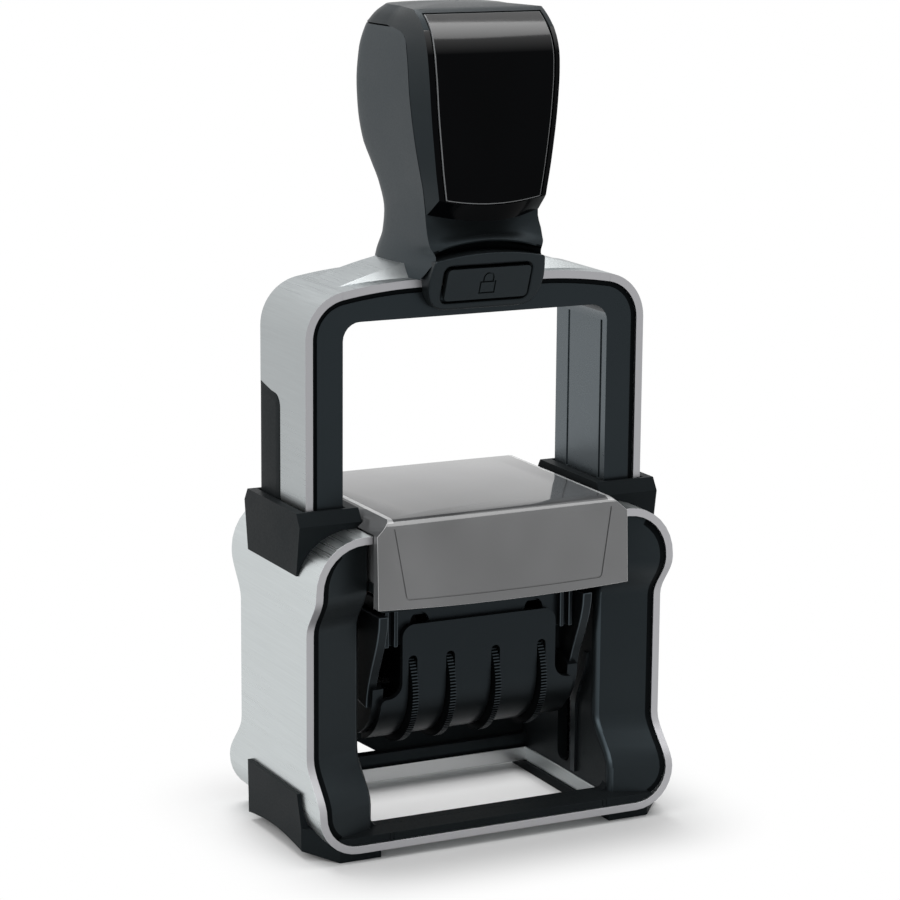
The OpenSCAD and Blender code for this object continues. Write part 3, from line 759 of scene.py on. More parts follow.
def raise_panel(piece: Piece, border: float, height: float,
                wanted: Callable[[Vector, Vector], bool]) -> None:
    """Raises a region of faces, with a slope of even width all round it.

    Args:
        piece: The object to work on.
        border: Width of the slope.
        height: Height of the region over its rim.
        wanted: Says for a face's centre, in millimetres, and its normal whether it belongs to the region.
    """
    with Workbench(piece) as bench:
        bench.mesh.normal_update()
        region = [f for f in bench.mesh.faces if wanted(f.calc_center_median() / MM, f.normal)]
        bmesh.ops.inset_region(
            bench.mesh, faces=region, thickness=border * MM, depth=height * MM,
            use_boundary=True, use_even_offset=True)


def reshape(piece: Piece, move: Callable[[float, float, float], Point]) -> Piece:
    """Moves the corners of a piece.

    Args:
        piece: The object to work on.
        move: Returns the new place of a corner for its old X, Y and Z, in millimetres.

    Returns:
        The piece.
    """
    with Workbench(piece) as bench:
        for vertex in bench.mesh.verts:
            vertex.co = [value * MM for value in move(*[value / MM for value in vertex.co])]
    return piece


def round_edges(piece: Piece, radius: float, steps: int, wanted: Callable[[bmesh.types.BMEdge], bool]) -> None:
    """Rounds some edges of a piece for good.

    Args:
        piece: The object to work on.
        radius: Radius of the rounding.
        steps: Faces across it.
        wanted: Says whether an edge is rounded.
    """
    with Workbench(piece) as bench:
        bench.mesh.normal_update()
        edges = [edge for edge in bench.mesh.edges if wanted(edge)]
        bmesh.ops.bevel(bench.mesh, geom=edges, offset=radius * MM, segments=steps, profile=0.5, affect="EDGES")


def ease_edges(piece: Piece, width: float, steps: int = 3, angle: float = 32.0,
               flat: bool = True) -> None:
    """Rounds the sharp edges of a piece and shades the rest smooth.

    Args:
        piece: The object to work on.
        width: Width of the rounding.
        steps: Faces across it.
        angle: Least angle of an edge that is rounded, in degrees.
        flat: Whether large faces are shaded flat.
    """
    piece.data.shade_smooth()
    piece.data.set_sharp_from_angle(angle=math.radians(angle))
    bevel = piece.modifiers.new("eased_edges", "BEVEL")
    bevel.width = width * MM
    bevel.segments = steps
    bevel.limit_method = "ANGLE"
    bevel.angle_limit = math.radians(angle)
    bevel.harden_normals = True
    bevel.miter_outer = "MITER_ARC"
    if not flat:
        return
    normals = piece.modifiers.new("flat_faces", "WEIGHTED_NORMAL")
    normals.weight = 90
    normals.keep_sharp = True


def thicken(piece: Piece, wall: float) -> None:
    """Gives an open skin a wall on its inner side.

    Args:
        piece: The object to work on.
        wall: Thickness of the wall.
    """
    solid = piece.modifiers.new("wall", "SOLIDIFY")
    solid.thickness = wall * MM
    solid.offset = -1.0
    solid.use_even_offset = True


def apply_modifiers(piece: Piece) -> None:
    """Makes the result of a piece's modifiers its own mesh.

    Args:
        piece: The object to work on.
    """
    graph = bpy.context.evaluated_depsgraph_get()
    result = bpy.data.meshes.new_from_object(piece.evaluated_get(graph))
    piece.modifiers.clear()
    piece.data = result


def combine(piece: Piece, how: Merge, others: Sequence[Piece]) -> None:
    """Cuts other objects out of a piece or joins them to it, and throws them away.

    Args:
        piece: The object to work on.
        how: Whether they are cut out of it or joined to it.
        others: The other objects.
    """
    for other in others:
        merge = piece.modifiers.new("merge", "BOOLEAN")
        merge.object, merge.operation, merge.solver = other, how.value, "EXACT"
        apply_modifiers(piece)
        bpy.data.objects.remove(other)


def carve(piece: Piece, *cutters: Piece) -> None:
    """Cuts other objects out of a piece and throws them away."""
    combine(piece, Merge.CUT, cutters)


def settle(piece: Piece, finish: Finish, body: Body, *nodes: str) -> Piece:
    """Gives a finished piece its material and body, and hides the CAD nodes that it stands for.

    Args:
        piece: The piece.
        finish: Its finish.
        body: The body that carries it.
        nodes: CAD nodes that it stands for.

    Returns:
        The piece.
    """
    piece.data.materials.clear()
    piece.data.materials.append(finish.material())
    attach(piece, body.value)
    if nodes:
        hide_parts(*nodes)
    return piece


def dress_edges(piece: Piece, finish: Finish) -> Piece:
    """Gives the rounded edges of a piece a finish of their own.

    Args:
        piece: The piece, with its edges eased.
        finish: The edges' finish.

    Returns:
        The piece.
    """
    piece.data.materials.append(finish.material())
    piece.modifiers["eased_edges"].material = len(piece.data.materials) - 1
    return piece


def repaint(piece: Piece, finishes: Sequence[Finish], choose: Callable[[Vector, Vector], int]) -> Piece:
    """Gives some faces of a piece other finishes.

    Args:
        piece: The piece with its main finish.
        finishes: The other finishes.
        choose: Returns the number of the finish for a face's centre, in millimetres, and its normal.
            The main finish is 0.

    Returns:
        The piece.
    """
    for finish in finishes:
        piece.data.materials.append(finish.material())
    for face in piece.data.polygons:
        face.material_index = int(choose(face.center / MM, face.normal))
    return piece


def eased_node(node: str, name: str, finish: Finish, body: Body, width: float,
               steps: int = 3) -> Piece:
    """Takes a CAD node over as a piece whose shape is right and rounds its edges.

    Args:
        node: The CAD node.
        name: Name of the piece.
        finish: Its finish.
        body: The body that carries it.
        width: Width of the rounding.
        steps: Faces across the rounding.

    Returns:
        The piece.
    """
    piece = take_node(node, name)
    ease_edges(piece, width, steps)
    return settle(piece, finish, body, node)


class Assembly(ABC):
    """A sub-assembly that builds its pieces."""

    @abstractmethod
    def build(self) -> list[Piece]:
        """Builds the pieces and returns them."""


@dataclass
class Cladding(Assembly):
    """Steel sheet bent round the base, with a hem turned up round its window."""

    edge: float = 0.3
    hem: float = 0.35
    hem_rise: float = 1.4
    hem_edge: float = 0.12

    def window_hem(self) -> Piece:
        """Builds the hem at the sides and back of the window.

        Returns:
            The hem.
        """
        sill_low, sill_high = node_box("rear_sill")
        floor = node_box("base_band")[0].z
        half, back, front = sill_high.x, sill_low.y, node_box("front_sill")[1].y
        inner = half - self.hem
        outline = [(half, front), (half, back), (-half, back), (-half, front),
                   (-inner, front), (-inner, back - self.hem), (inner, back - self.hem), (inner, front)]
        piece = prism("window_hem", outline, Axis.Z, floor, sill_low.z + self.hem_rise)
        ease_edges(piece, self.hem_edge)
        # The hem's faces towards front and back get a painted highlight.
        return settle(piece, LIT_HEM_STEEL, Body.BASE)

    def build(self) -> list[Piece]:
        """Builds the cladding."""
        return [eased_node("base_band", "base_cladding", STEEL, Body.BASE, self.edge), self.window_hem()]


@dataclass
class Chassis(Assembly):
    """Pillars with slanted, raised faces, sills with coved ends, feet and pad rails."""

    face_border: float = 1.1
    face_height: float = 0.4
    face_reach: float = 11.5
    slant: float = 0.3
    shade_slopes: Flat = (0.2, 0.6)
    edge_slopes: Flat = (-0.9, -0.3)
    edge: float = 0.25
    cove: float = 1.3
    sill_fall: float = 0.9
    foot_edge: float = 0.45
    panel_back: float = 10.4
    panel_front: float = -15.0
    panel_lean: float = 0.5
    panel_depth: Flat = (34.2, 45.0)
    arch_low: float = 1.6
    arch_rise: float = 1.1
    arch_steps: int = 12
    inside_r: float = 1.0
    rib_face: float = 25.2
    rib_shift: float = -1.3
    slot_half: float = 2.5
    slot_reach: float = 28.0
    slot_r: float = 1.7
    notch: tuple[Flat, ...] = ((-12.6, 8.0), (-8.2, 8.0), (-12.6, 10.7))
    notch_slant: Flat = (0.46, -0.37)
    notch_lap: float = 0.2
    seams: Flat = (22.6, 23.4)
    seam: float = 0.16
    lip_back: float = -17.7
    lip_fall: float = 0.8
    corner: Flat = (30.0, 6.5)
    corner_turn: Flat = (270.0, 305.0)
    hem_lip: float = 2.9
    undercut: float = 0.9
    wall_rise: float = 3.8
    wall_end: float = 3.0
    wall_in: float = 1.2

    def pillar(self, side: Side) -> Piece:
        """Builds a pillar whose front and back stand up from a sloped border.

        Args:
            side: Its side.

        Returns:
            The pillar.
        """
        node = f"{side.word}_pillar"
        piece = take_node(node, f"{node}_moulding")
        self.slant_front(piece)
        for sign in (-1, 1):
            raise_panel(
                piece, self.face_border, self.face_height,
                lambda centre, normal: sign * centre.y > self.face_reach and sign * normal.y > 0.5)
        round_edges(piece, self.inside_r, 4, lambda edge: self.is_inside(edge, side))
        self.shift_rib(piece)
        round_edges(piece, self.slot_r, 6, self.is_slot_corner)
        ease_edges(piece, self.edge)
        settle(piece, BLACK, Body.BASE, node)
        # The outer slopes beside the steel get painted shade; the inner slopes and the cam rib get a glossier black.
        return repaint(piece, (SHADE_BLACK, EDGE_BLACK), lambda centre, normal: self.face_finish(side, centre, normal))

    def face_finish(self, side: Side, centre: Vector, normal: Vector) -> int:
        """Chooses the finish of a pillar's face.

        Args:
            side: The pillar's side.
            centre: The face's centre in millimetres.
            normal: Its normal.

        Returns:
            1 for the outer slopes, which get painted shade, 2 for the inner slopes and the cam rib, 0 for the rest.
        """
        turn = math.atan(self.slant) if centre.y < 0 else 0.0
        slope = math.sin(math.asin(max(-1.0, min(1.0, side.value * normal.x))) + turn)
        outside = abs(centre.y) > self.face_reach
        if outside and self.shade_slopes[0] < slope < self.shade_slopes[1]:
            return 1
        inner = outside and self.edge_slopes[0] < slope < self.edge_slopes[1]
        return 2 if inner or abs(centre.x) < self.rib_face else 0

    def slant_front(self, piece: Piece) -> None:
        """Lets the front of a pillar fall back towards the inside.

        Args:
            piece: The pillar.
        """
        outer = max(abs(vertex.co.x) for vertex in piece.data.vertices) / MM
        reshape(piece, lambda x, y, z: (
            x, y + (self.slant * (outer - abs(x)) if y < -self.face_reach else 0.0), z))

    def shift_rib(self, piece: Piece) -> None:
        """Sets a pillar's cam rib off from the pin's slot.

        Args:
            piece: The pillar.
        """
        with Workbench(piece) as bench:
            rib = {(round(v.co.y, 6), round(v.co.z, 6)) for v in bench.mesh.verts if abs(v.co.x) < self.rib_face * MM}
            for vertex in bench.mesh.verts:
                if (round(vertex.co.y, 6), round(vertex.co.z, 6)) in rib:
                    vertex.co.y += self.rib_shift * MM

    def is_slot_corner(self, edge: bmesh.types.BMEdge) -> bool:
        """Says whether an edge of a pillar is a corner of the pin's slot.

        Args:
            edge: The edge.

        Returns:
            Whether it is.
        """
        a, b = (vertex.co / MM for vertex in edge.verts)
        along = abs(a.x - b.x) > 1.0 and (a - b).yz.length < 0.01
        return along and abs(abs(a.y) - self.slot_half) < 0.05 and abs(a.x) < self.slot_reach

    def is_inside(self, edge: bmesh.types.BMEdge, side: Side) -> bool:
        """Says whether a long edge lies between a pillar's front or back and its inner face.

        Args:
            edge: The edge.
            side: The pillar's side.

        Returns:
            Whether it does.
        """
        middle = (edge.verts[0].co + edge.verts[1].co) / 2
        inward = max(-side.value * face.normal.x for face in edge.link_faces)
        across = max(abs(face.normal.y) for face in edge.link_faces)
        return abs(middle.y) > self.face_reach * MM and inward > 0.9 and across > 0.4

    def foot(self, side: Side) -> Piece:
        """Builds a foot whose side panel ends before the back and arches over the floor.

        Args:
            side: Its side.

        Returns:
            The foot.
        """
        node = f"{side.word}_foot"
        piece = take_node(node, f"{node}_runner")
        high = node_box(node)[1]
        inner, outer = sorted(side.value * depth for depth in self.panel_depth)
        back = [(self.panel_back, -PAST), (high.y + PAST, -PAST), (high.y + PAST, high.z + PAST),
                (self.panel_back + self.panel_lean, high.z + PAST)]
        span = self.panel_back - self.panel_front
        shares = [i / self.arch_steps for i in range(self.arch_steps + 1)]
        arch = [(self.panel_front + span * share, self.arch_low + self.arch_rise * math.sin(math.pi * share))
                for share in shares]
        under = [(self.panel_front, -PAST), *arch, (self.panel_back, -PAST)]
        carve(piece, *[prism("panel_cut", outline, Axis.X, inner, outer) for outline in (back, under)])
        ease_edges(piece, self.foot_edge)
        return settle(piece, MATT_BLACK, Body.BASE, node)

    def sill(self, node: str, *tops: Flat) -> Piece:
        """Builds a sill that runs up the pillars in a cove.

        Args:
            node: The CAD node.
            tops: Depth and height of the two long edges of its top.

        Returns:
            The sill.
        """
        low, high = node_box(node)
        rings = []
        for y, height in tops:
            turn = arc((high.x - self.cove, height + self.cove), self.cove, 360, 270, 6)
            rings.append([(x, y, z) for x, z in both_sides([(high.x, low.z), *turn])])
        return loft(f"{node}_bar", rings)

    def front_sill(self) -> list[Piece]:
        """Builds the front sill and the lip before it, with a pair of seams near each end.

        Returns:
            The sill and its lip.
        """
        low, high = node_box("front_sill")
        top, rise = high.z - self.lip_fall, self.lip_fall * 2 / 3
        bar = self.sill("front_sill", (self.lip_back, top + rise), (high.y, high.z))
        x, radius = self.corner
        turn = arc((x, low.z + radius), radius, *self.corner_turn, 6)
        lip = prism("front_sill_lip", both_sides([*turn, (turn[-1][0], top)]), Axis.Y, low.y, self.lip_back)
        reshape(lip, lambda x, y, z: (
            x, y, z + (rise if z > top - HAIR and y > self.lip_back - HAIR else 0.0)))
        carve(lip, *[
            prism("seam", rectangle(sign * x, 0.0, sign * x + self.seam, high.z + PAST), Axis.Y,
                  low.y - PAST, low.y + self.seam)
            for x in self.seams for sign in (-1, 1)])
        for piece in (bar, lip):
            ease_edges(piece, self.edge)
        return [settle(bar, MATT_BLACK, Body.BASE, "front_sill"), settle(lip, MATT_BLACK, Body.BASE)]

    def drain_notch(self, front: float, back: float) -> Piece:
        """Makes the cutter of the notch that slants down to the back of the rear sill.

        Args:
            front: Depth of the notch's front.
            back: Depth of its end.

        Returns:
            The cutter.
        """
        piece = prism("drain_notch", self.notch, Axis.Y, front - self.notch_lap, back)
        across, down = self.notch_slant
        return reshape(piece, lambda x, y, z: (x + (y - front) * across, y, z + (y - front) * down))

    def rear_sill(self) -> list[Piece]:
        """Builds the rear sill, undercut over the hem, and the wall that stands on it.

        Returns:
            The sill and its wall.
        """
        low, high = node_box("rear_sill")
        ledge = high.z - self.wall_rise
        front, back = low.y + self.wall_in, high.y - self.wall_in
        bar = self.sill("rear_sill", (high.y, ledge), (low.y, ledge - self.sill_fall))
        under = rectangle(low.y - PAST, low.z, low.y + self.undercut, ledge - self.hem_lip)
        carve(bar, prism("undercut", under, Axis.X, -high.x - PAST, high.x + PAST))
        wall = prism("rear_sill_wall", rectangle(self.wall_end - high.x, low.z, high.x, high.z), Axis.Y, front, back)
        for piece in (bar, wall):
            carve(piece, self.drain_notch(front, high.y + PAST))
            ease_edges(piece, self.edge)
        return [settle(bar, BLACK, Body.BASE, "rear_sill"), settle(wall, MATT_BLACK, Body.BASE)]

    def build(self) -> list[Piece]:
        """Builds the chassis.

        Returns:
            Its pieces.
        """
        pieces = [*self.front_sill(), *self.rear_sill()]
        for side in Side:
            word = side.word
            pieces += [
                self.pillar(side),
                self.foot(side),
                eased_node(f"{word}_pad_rail", f"{word}_pad_runner", BLACK, Body.BASE, self.edge),
            ]
        return pieces


@dataclass
class Collars(Assembly):
    """Guide collars on the shoulders."""

    edge: float = 0.75

    def build(self) -> list[Piece]:
        """Builds both collars."""
        return [eased_node(f"{word}_collar", f"{word}_guide_collar", MATT_BLACK, Body.BASE, self.edge)
                for word in (side.word for side in Side)]


@dataclass
class Hood(Assembly):
    """Smoked hood over the pad, with a fine line round its front panel and painted highlights on its rims."""

    edge: float = 0.4
    roll: float = 1.7
    top_end: float = 22.75
    lean: float = 0.8
    lean_top: float = 1.2
    top_half: float = 23.1
    low_half: float = 20.9
    head: float = 2.3
    foot: float = 2.1
    bow: float = 0.3
    corner: float = 0.8
    line: float = 0.26
    line_deep: float = 0.22
    line_front: float = -40.0
    rim_y: float = 20.0

    def front(self, z: float) -> float:
        """Returns the depth of the leaning front at a height."""
        low, high = node_box("pad_hood")
        return low.y + self.lean * (z - low.z) / (high.z - self.lean_top - low.z)

    def side_line(self, shrink: float) -> list[Flat]:
        """Draws the panel's line from the top right corner down and to the middle.

        Args:
            shrink: How far the line is drawn in.

        Returns:
            Points on X and Z.
        """
        low, high = node_box("pad_hood")
        foot, head = low.z + self.foot + shrink, high.z - self.head
        corner = self.corner - shrink
        reach = self.low_half - shrink
        turn = arc((reach - corner, foot + corner), corner, -10, -90, 5)
        floor = [(reach * share, foot - self.bow * (1 - share * share)) for share in (0.75, 0.5, 0.25)]
        return [(self.top_half - shrink, head), *turn, *floor]

    def panel_line(self) -> Piece:
        """Makes the cutter of the line round the panel.

        Returns:
            The cutter.
        """
        outline = both_sides(self.side_line(0.0)) + both_sides(self.side_line(self.line))[::-1]
        cutter = prism("panel_line", outline, Axis.Y, self.line_front, 0.0)
        return reshape(cutter, lambda x, y, z: (
            x, self.front(z) + self.line_deep if y > self.line_front / 2 else y, z))

    @staticmethod
    def is_front_crease(edge: bmesh.types.BMEdge) -> bool:
        """Says whether an edge lies between the hood's top and its front."""
        normals = [face.normal for face in edge.link_faces]
        return len(normals) == 2 and max(n.z for n in normals) > 0.94 and min(n.y for n in normals) < -0.94

    def mark_ends(self, piece: Piece) -> None:
        """Splits the faces of the top along the rims at its ends.

        Args:
            piece: The hood.
        """
        with Workbench(piece) as bench:
            for x in (-self.top_end, self.top_end):
                bench.mesh.normal_update()
                top = [face for face in bench.mesh.faces if face.normal.z > 0.2]
                geometry = {part for face in top for part in (face, *face.edges, *face.verts)}
                bmesh.ops.bisect_plane(bench.mesh, geom=list(geometry), plane_co=(x * MM, 0.0, 0.0),
                                       plane_no=(1.0, 0.0, 0.0))

    def is_highlit_rim(self, centre: Vector, normal: Vector) -> bool:
        """Says whether a face lies on a rim, which gets a painted highlight.

        Args:
            centre: The face's centre in millimetres.
            normal: Its normal.

        Returns:
            Whether it lies on the foot, an upright edge or an end of the top.
        """
        foot = normal.z < -0.2 and abs(normal.y) > 0.2
        upright = abs(normal.x) > 0.2 and abs(normal.y) > 0.2 and abs(centre.y) > self.rim_y
        end = normal.z > 0.78 and abs(centre.x) > self.top_end
        return foot or upright or end

    def build(self) -> list[Piece]:
        """Builds the hood, cuts the line of its panel and paints highlights on its rims.

        Returns:
            The hood alone.
        """
        piece = take_node("pad_hood", "smoked_hood")
        round_edges(piece, self.roll, 8, self.is_front_crease)
        ease_edges(piece, self.edge, 4, 24.0)
        apply_modifiers(piece)
        self.mark_ends(piece)
        carve(piece, self.panel_line())
        settle(piece, SMOKE, Body.BASE, "pad_hood")
        # The rims get a painted highlight.
        return [repaint(piece, [SMOKE_RIM_HIGHLIGHT], self.is_highlit_rim)]


@dataclass
class InkCartridge(Assembly):
    """Tray with its crowned ink pad."""

    edge: float = 0.35
    crown: float = 0.45
    tuck: float = 0.5
    puff: int = 6
    pinch: float = 0.012
    cells: int = 24

    def pad(self) -> Piece:
        """Builds the pad as a felt block with a soft, crowned face towards the plate.

        Returns:
            The pad.
        """
        low, high = node_box("ink_pad")
        shares = [2 * i / self.cells - 1 for i in range(self.cells + 1)]
        middle, half = (low + high) / 2, (high - low) / 2
        count = len(shares)
        points = []
        for face in (0, 1):
            for v in shares:
                for u in shares:
                    full = (1 - u ** self.puff) * (1 - v ** self.puff)
                    waist = (1 - u * u if abs(v) == 1 else 0) + (1 - v * v if abs(u) == 1 else 0)
                    pull = 1 - self.pinch * waist
                    z = high.z if face else low.z + self.crown * (1 - full)
                    points.append((middle.x + half.x * u * pull, middle.y + half.y * v * pull, z))
        layer = count * count
        faces = []
        for row in range(count - 1):
            for column in range(count - 1):
                a = row * count + column
                faces += [(a, a + count, a + count + 1, a + 1),
                          (a + layer, a + layer + 1, a + layer + count + 1, a + layer + count)]
        rim = [*range(count - 1), *range(count - 1, layer - 1, count), *range(layer - 1, layer - count, -1),
               *range(layer - count, 0, -count)]
        faces += [(p, q, q + layer, p + layer) for p, q in zip(rim, rim[1:] + rim[:1])]
        piece = outward(add_mesh("felt_pad", points, faces))
        ease_edges(piece, self.tuck, 3, 50.0)
        settle(piece, FELT, Body.CARTRIDGE, "ink_pad")
        return piece

    def build(self) -> list[Piece]:
        """Builds the tray and its pad."""
        return [eased_node("pad_tray", "cartridge_tray", BLACK, Body.CARTRIDGE, self.edge), self.pad()]


@dataclass
class Springs(Assembly):
    """Return springs in the bow's legs and the rods that they stand on."""

    turns: int = 17
    wire: float = 0.35
    steps: int = 20
    sides: int = 8
    closed: float = 0.39
    edge: float = 0.25

    def coil(self, side: Side) -> Piece:
        """Winds a spring between the rod and the crossbar.

        Args:
            side: Its side.

        Returns:
            The spring, which shortens with the bow.
        """
        node = f"{side.word}_return_spring"
        low, high = node_box(node)
        middle = (low + high) / 2
        radius = (high.x - low.x) / 2 - self.wire
        rings = []
        last = self.turns * self.steps
        for i in range(last + 1):
            angle = 2 * math.pi * i / self.steps
            z = low.z + self.wire + (high.z - low.z - 2 * self.wire) * i / last
            section = arc((radius, z), self.wire, 0, 360, self.sides)[:-1]
            rings.append([(middle.x + reach * math.cos(angle), middle.y + reach * math.sin(angle), height)
                          for reach, height in section])
        piece = loft(f"{side.word}_coil", rings)
        piece.data.shade_smooth()
        settle(piece, BRIGHT, Body.BASE, node)
        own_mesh(piece)
        return piece

    def build(self) -> list[Piece]:
        """Builds both springs and rods.

        Returns:
            The springs and rods.
        """
        pieces = []
        for side in Side:
            rod = f"{side.word}_spring_rod"
            pieces += [self.coil(side), eased_node(rod, f"{side.word}_rod", BRIGHT, Body.BASE, self.edge)]
        return pieces


@dataclass
class Bow(Assembly):
    """Steel bow with ridges beside the neck, its black core, leg strips and swing pins."""

    wall: float = 1.5
    corner: float = 9.0
    tilt: float = 10.0
    flat: float = 12.0
    ridge: float = 2.7
    ledge: float = 2.4
    edge: float = 0.28
    core_edge: float = 0.3
    core_border: float = 1.0
    core_height: float = 0.3
    strip_lift: float = 1.3
    strip_slope: float = 1.5
    strip_proud: float = 0.3
    strip_edge: float = 0.2
    gap_past: float = 9.0
    gap_r: float = 2.5
    gap_drop: float = 4.0
    gap_reach: Flat = (33.5, 40.0)
    groove_lap: float = 0.2
    leg_levels: Flat = (80.0, 60.0)
    seam: float = 0.12
    pin_edge: float = 0.3

    def path(self) -> list[tuple[Flat, Flat]]:
        """Returns the places and outward normals down the right half, from the middle to the leg's end.

        Returns:
            Pairs of a place and its normal, on X and Z.
        """
        low, high = node_box("bow_band")
        top = node_box("bow_core")[1].z + self.wall
        corner_x = high.x - self.corner
        lean = math.radians(self.tilt)
        crown = (corner_x + self.corner * math.sin(lean) - self.flat) / math.sin(lean)
        corner_z = top - crown * (1 - math.cos(lean)) - self.corner * math.cos(lean)
        run = [((self.flat * share, top), (0.0, 1.0)) for share in (0.0, 0.5)]
        for centre, radius, start, end, steps in (
            ((self.flat, top - crown), crown, 90.0, 90.0 - self.tilt, 10),
            ((corner_x, corner_z), self.corner, 90.0 - self.tilt, 0.0, 14),
        ):
            places = arc(centre, radius, start, end, steps)
            run += [(p, ((p[0] - centre[0]) / radius, (p[1] - centre[1]) / radius)) for p in places]
        return run + [((high.x, z), (1.0, 0.0)) for z in (*self.leg_levels, low.z)]

    def section(self, x: float, reach: float) -> list[Flat]:
        """Returns depth and rise across the band, from front to back.

        Args:
            x: Distance of the place from the middle.
            reach: Where the ridge ends.

        Returns:
            Pairs of depth and rise.
        """
        half = node_box("bow_band")[1].y
        t = min(max((x - self.flat) / (reach - self.flat), 0.0), 1.0)
        foot = half - self.ledge * (1 + t)
        head = foot - self.ledge * (1 - t) - HAIR
        rise = self.ridge * (1 - t)
        front = [(half, 0.0), (half - 0.4 * self.ledge, 0.0), (foot, 0.0), (head, rise), (head / 2, rise)]
        return [(-y, h) for y, h in front] + [(0.0, rise)] + [(y, h) for y, h in reversed(front)]

    def band(self) -> Piece:
        """Sweeps the sheet over the bow and cuts the places for the strips.

        Returns:
            The band.
        """
        half = self.path()
        reach = node_box("bow_band")[1].x - self.corner
        rows = []
        for sign, run in ((1, list(reversed(half))), (-1, half[1:])):
            for (x, z), (nx, nz) in run:
                rows.append([(sign * (x + nx * h), y, z + nz * h) for y, h in self.section(x, reach)])
        count = len(rows[0])
        faces = [
            (r * count + c, r * count + c + 1, (r + 1) * count + c + 1, (r + 1) * count + c)
            for r in range(len(rows) - 1) for c in range(count - 1)
        ]
        piece = add_mesh("bow_cladding", [p for row in rows for p in row], faces)
        thicken(piece, self.wall)
        apply_modifiers(piece)
        carve(piece, *[self.strip_gap(side) for side in Side])
        ease_edges(piece, self.edge, 3, 20.0)
        # The band gets the darker copy of the steel: painted shade.
        return settle(piece, SHADED_BOW_STEEL, Body.BOW, "bow_band")

    def strip_gap(self, side: Side) -> Piece:
        """Makes the block that clears a strip's place in the band.

        Args:
            side: Its side.

        Returns:
            The cutter.
        """
        low, high = node_box(f"{side.word}_leg_strip")
        front, top = low.y - self.seam, high.z + self.strip_lift + self.seam
        foot, back = low.z - self.gap_past, high.y + self.gap_past
        outline = [(front, foot), (back, foot), (back, top)]
        outline += arc((front + self.gap_r, top - self.gap_drop), self.gap_r, 100, 180, 5)
        inner, outer = sorted(side.value * reach for reach in self.gap_reach)
        return prism("strip_gap", outline, Axis.X, inner, outer)

    def strip(self, side: Side) -> Piece:
        """Builds a leg strip with a sloped border on its outer face.

        Args:
            side: Its side.

        Returns:
            The strip.
        """
        node = f"{side.word}_leg_strip"
        piece = take_node(node, f"{node}_inlay")
        low, high = node_box(node)
        face, middle = max(-low.x, high.x) - self.strip_proud, (low.z + high.z) / 2
        reshape(piece, lambda x, y, z: (
            max(-face, min(face, x)), y, z + (self.strip_lift if z > middle else 0.0)))
        raise_panel(piece, self.strip_slope, self.strip_proud - HAIR,
                    lambda centre, normal: normal.x * side.value > 0.9)
        ease_edges(piece, self.strip_edge)
        return settle(piece, MATT_BLACK, Body.BOW, node)

    def rim_groove(self, sign: int) -> Piece:
        """Makes the cutter of the groove between the core and the steel, on the front or back.

        Args:
            sign: -1 for the front, 1 for the back.

        Returns:
            The cutter.
        """
        runs = []
        for deep in (self.wall - self.groove_lap, self.wall + self.core_border):
            right = [(x - nx * deep, z - nz * deep) for (x, z), (nx, nz) in self.path()]
            runs.append([(-x, z) for x, z in reversed(right[1:])] + right)
        face = node_box("bow_core")[1].y
        low, high = sorted((sign * (face - self.core_height), sign * (face + PAST)))
        return prism("rim_groove", runs[0] + runs[1][::-1], Axis.Y, low, high)

    def core(self) -> Piece:
        """Builds the core with a groove along the steel, whose floor gets painted shade, and smoother, lighter faces
        with painted sheen round its opening.

        Returns:
            The core.
        """
        piece = take_node("bow_core", "bow_frame")
        carve(piece, self.rim_groove(-1), self.rim_groove(1))
        ease_edges(piece, self.core_edge)
        settle(piece, CORE_BLACK, Body.BOW, "bow_core")
        floor = node_box("bow_core")[1].y - self.core_height

        def choose(centre: Vector, normal: Vector) -> int:
            """Chooses the finish of a face.

            Args:
                centre: The face's centre in millimetres.
                normal: Its normal.

            Returns:
                1 for the groove's floor in painted shade, 2 for a face round the opening with painted sheen and 0 for
                the rest.
            """
            if abs(normal.y) > 0.9 and abs(abs(centre.y) - floor) < 0.05:
                return 1
            return 2 if normal.x * centre.x < 0 and abs(normal.x) > 0.9 else 0

        # The groove's floor gets painted shade and the faces round the opening a painted sheen.
        return repaint(piece, (SHADE_BLACK, INNER_SHEEN_BLACK), choose)

    def build(self) -> list[Piece]:
        """Builds the bow.

        Returns:
            Its pieces.
        """
        pieces = [self.band(), self.core()]
        for side in Side:
            pin = f"{side.word}_pivot_pin"
            pieces += [self.strip(side), eased_node(pin, f"{side.word}_swing_pin", DARK_STEEL, Body.BOW, self.pin_edge)]
        return pieces


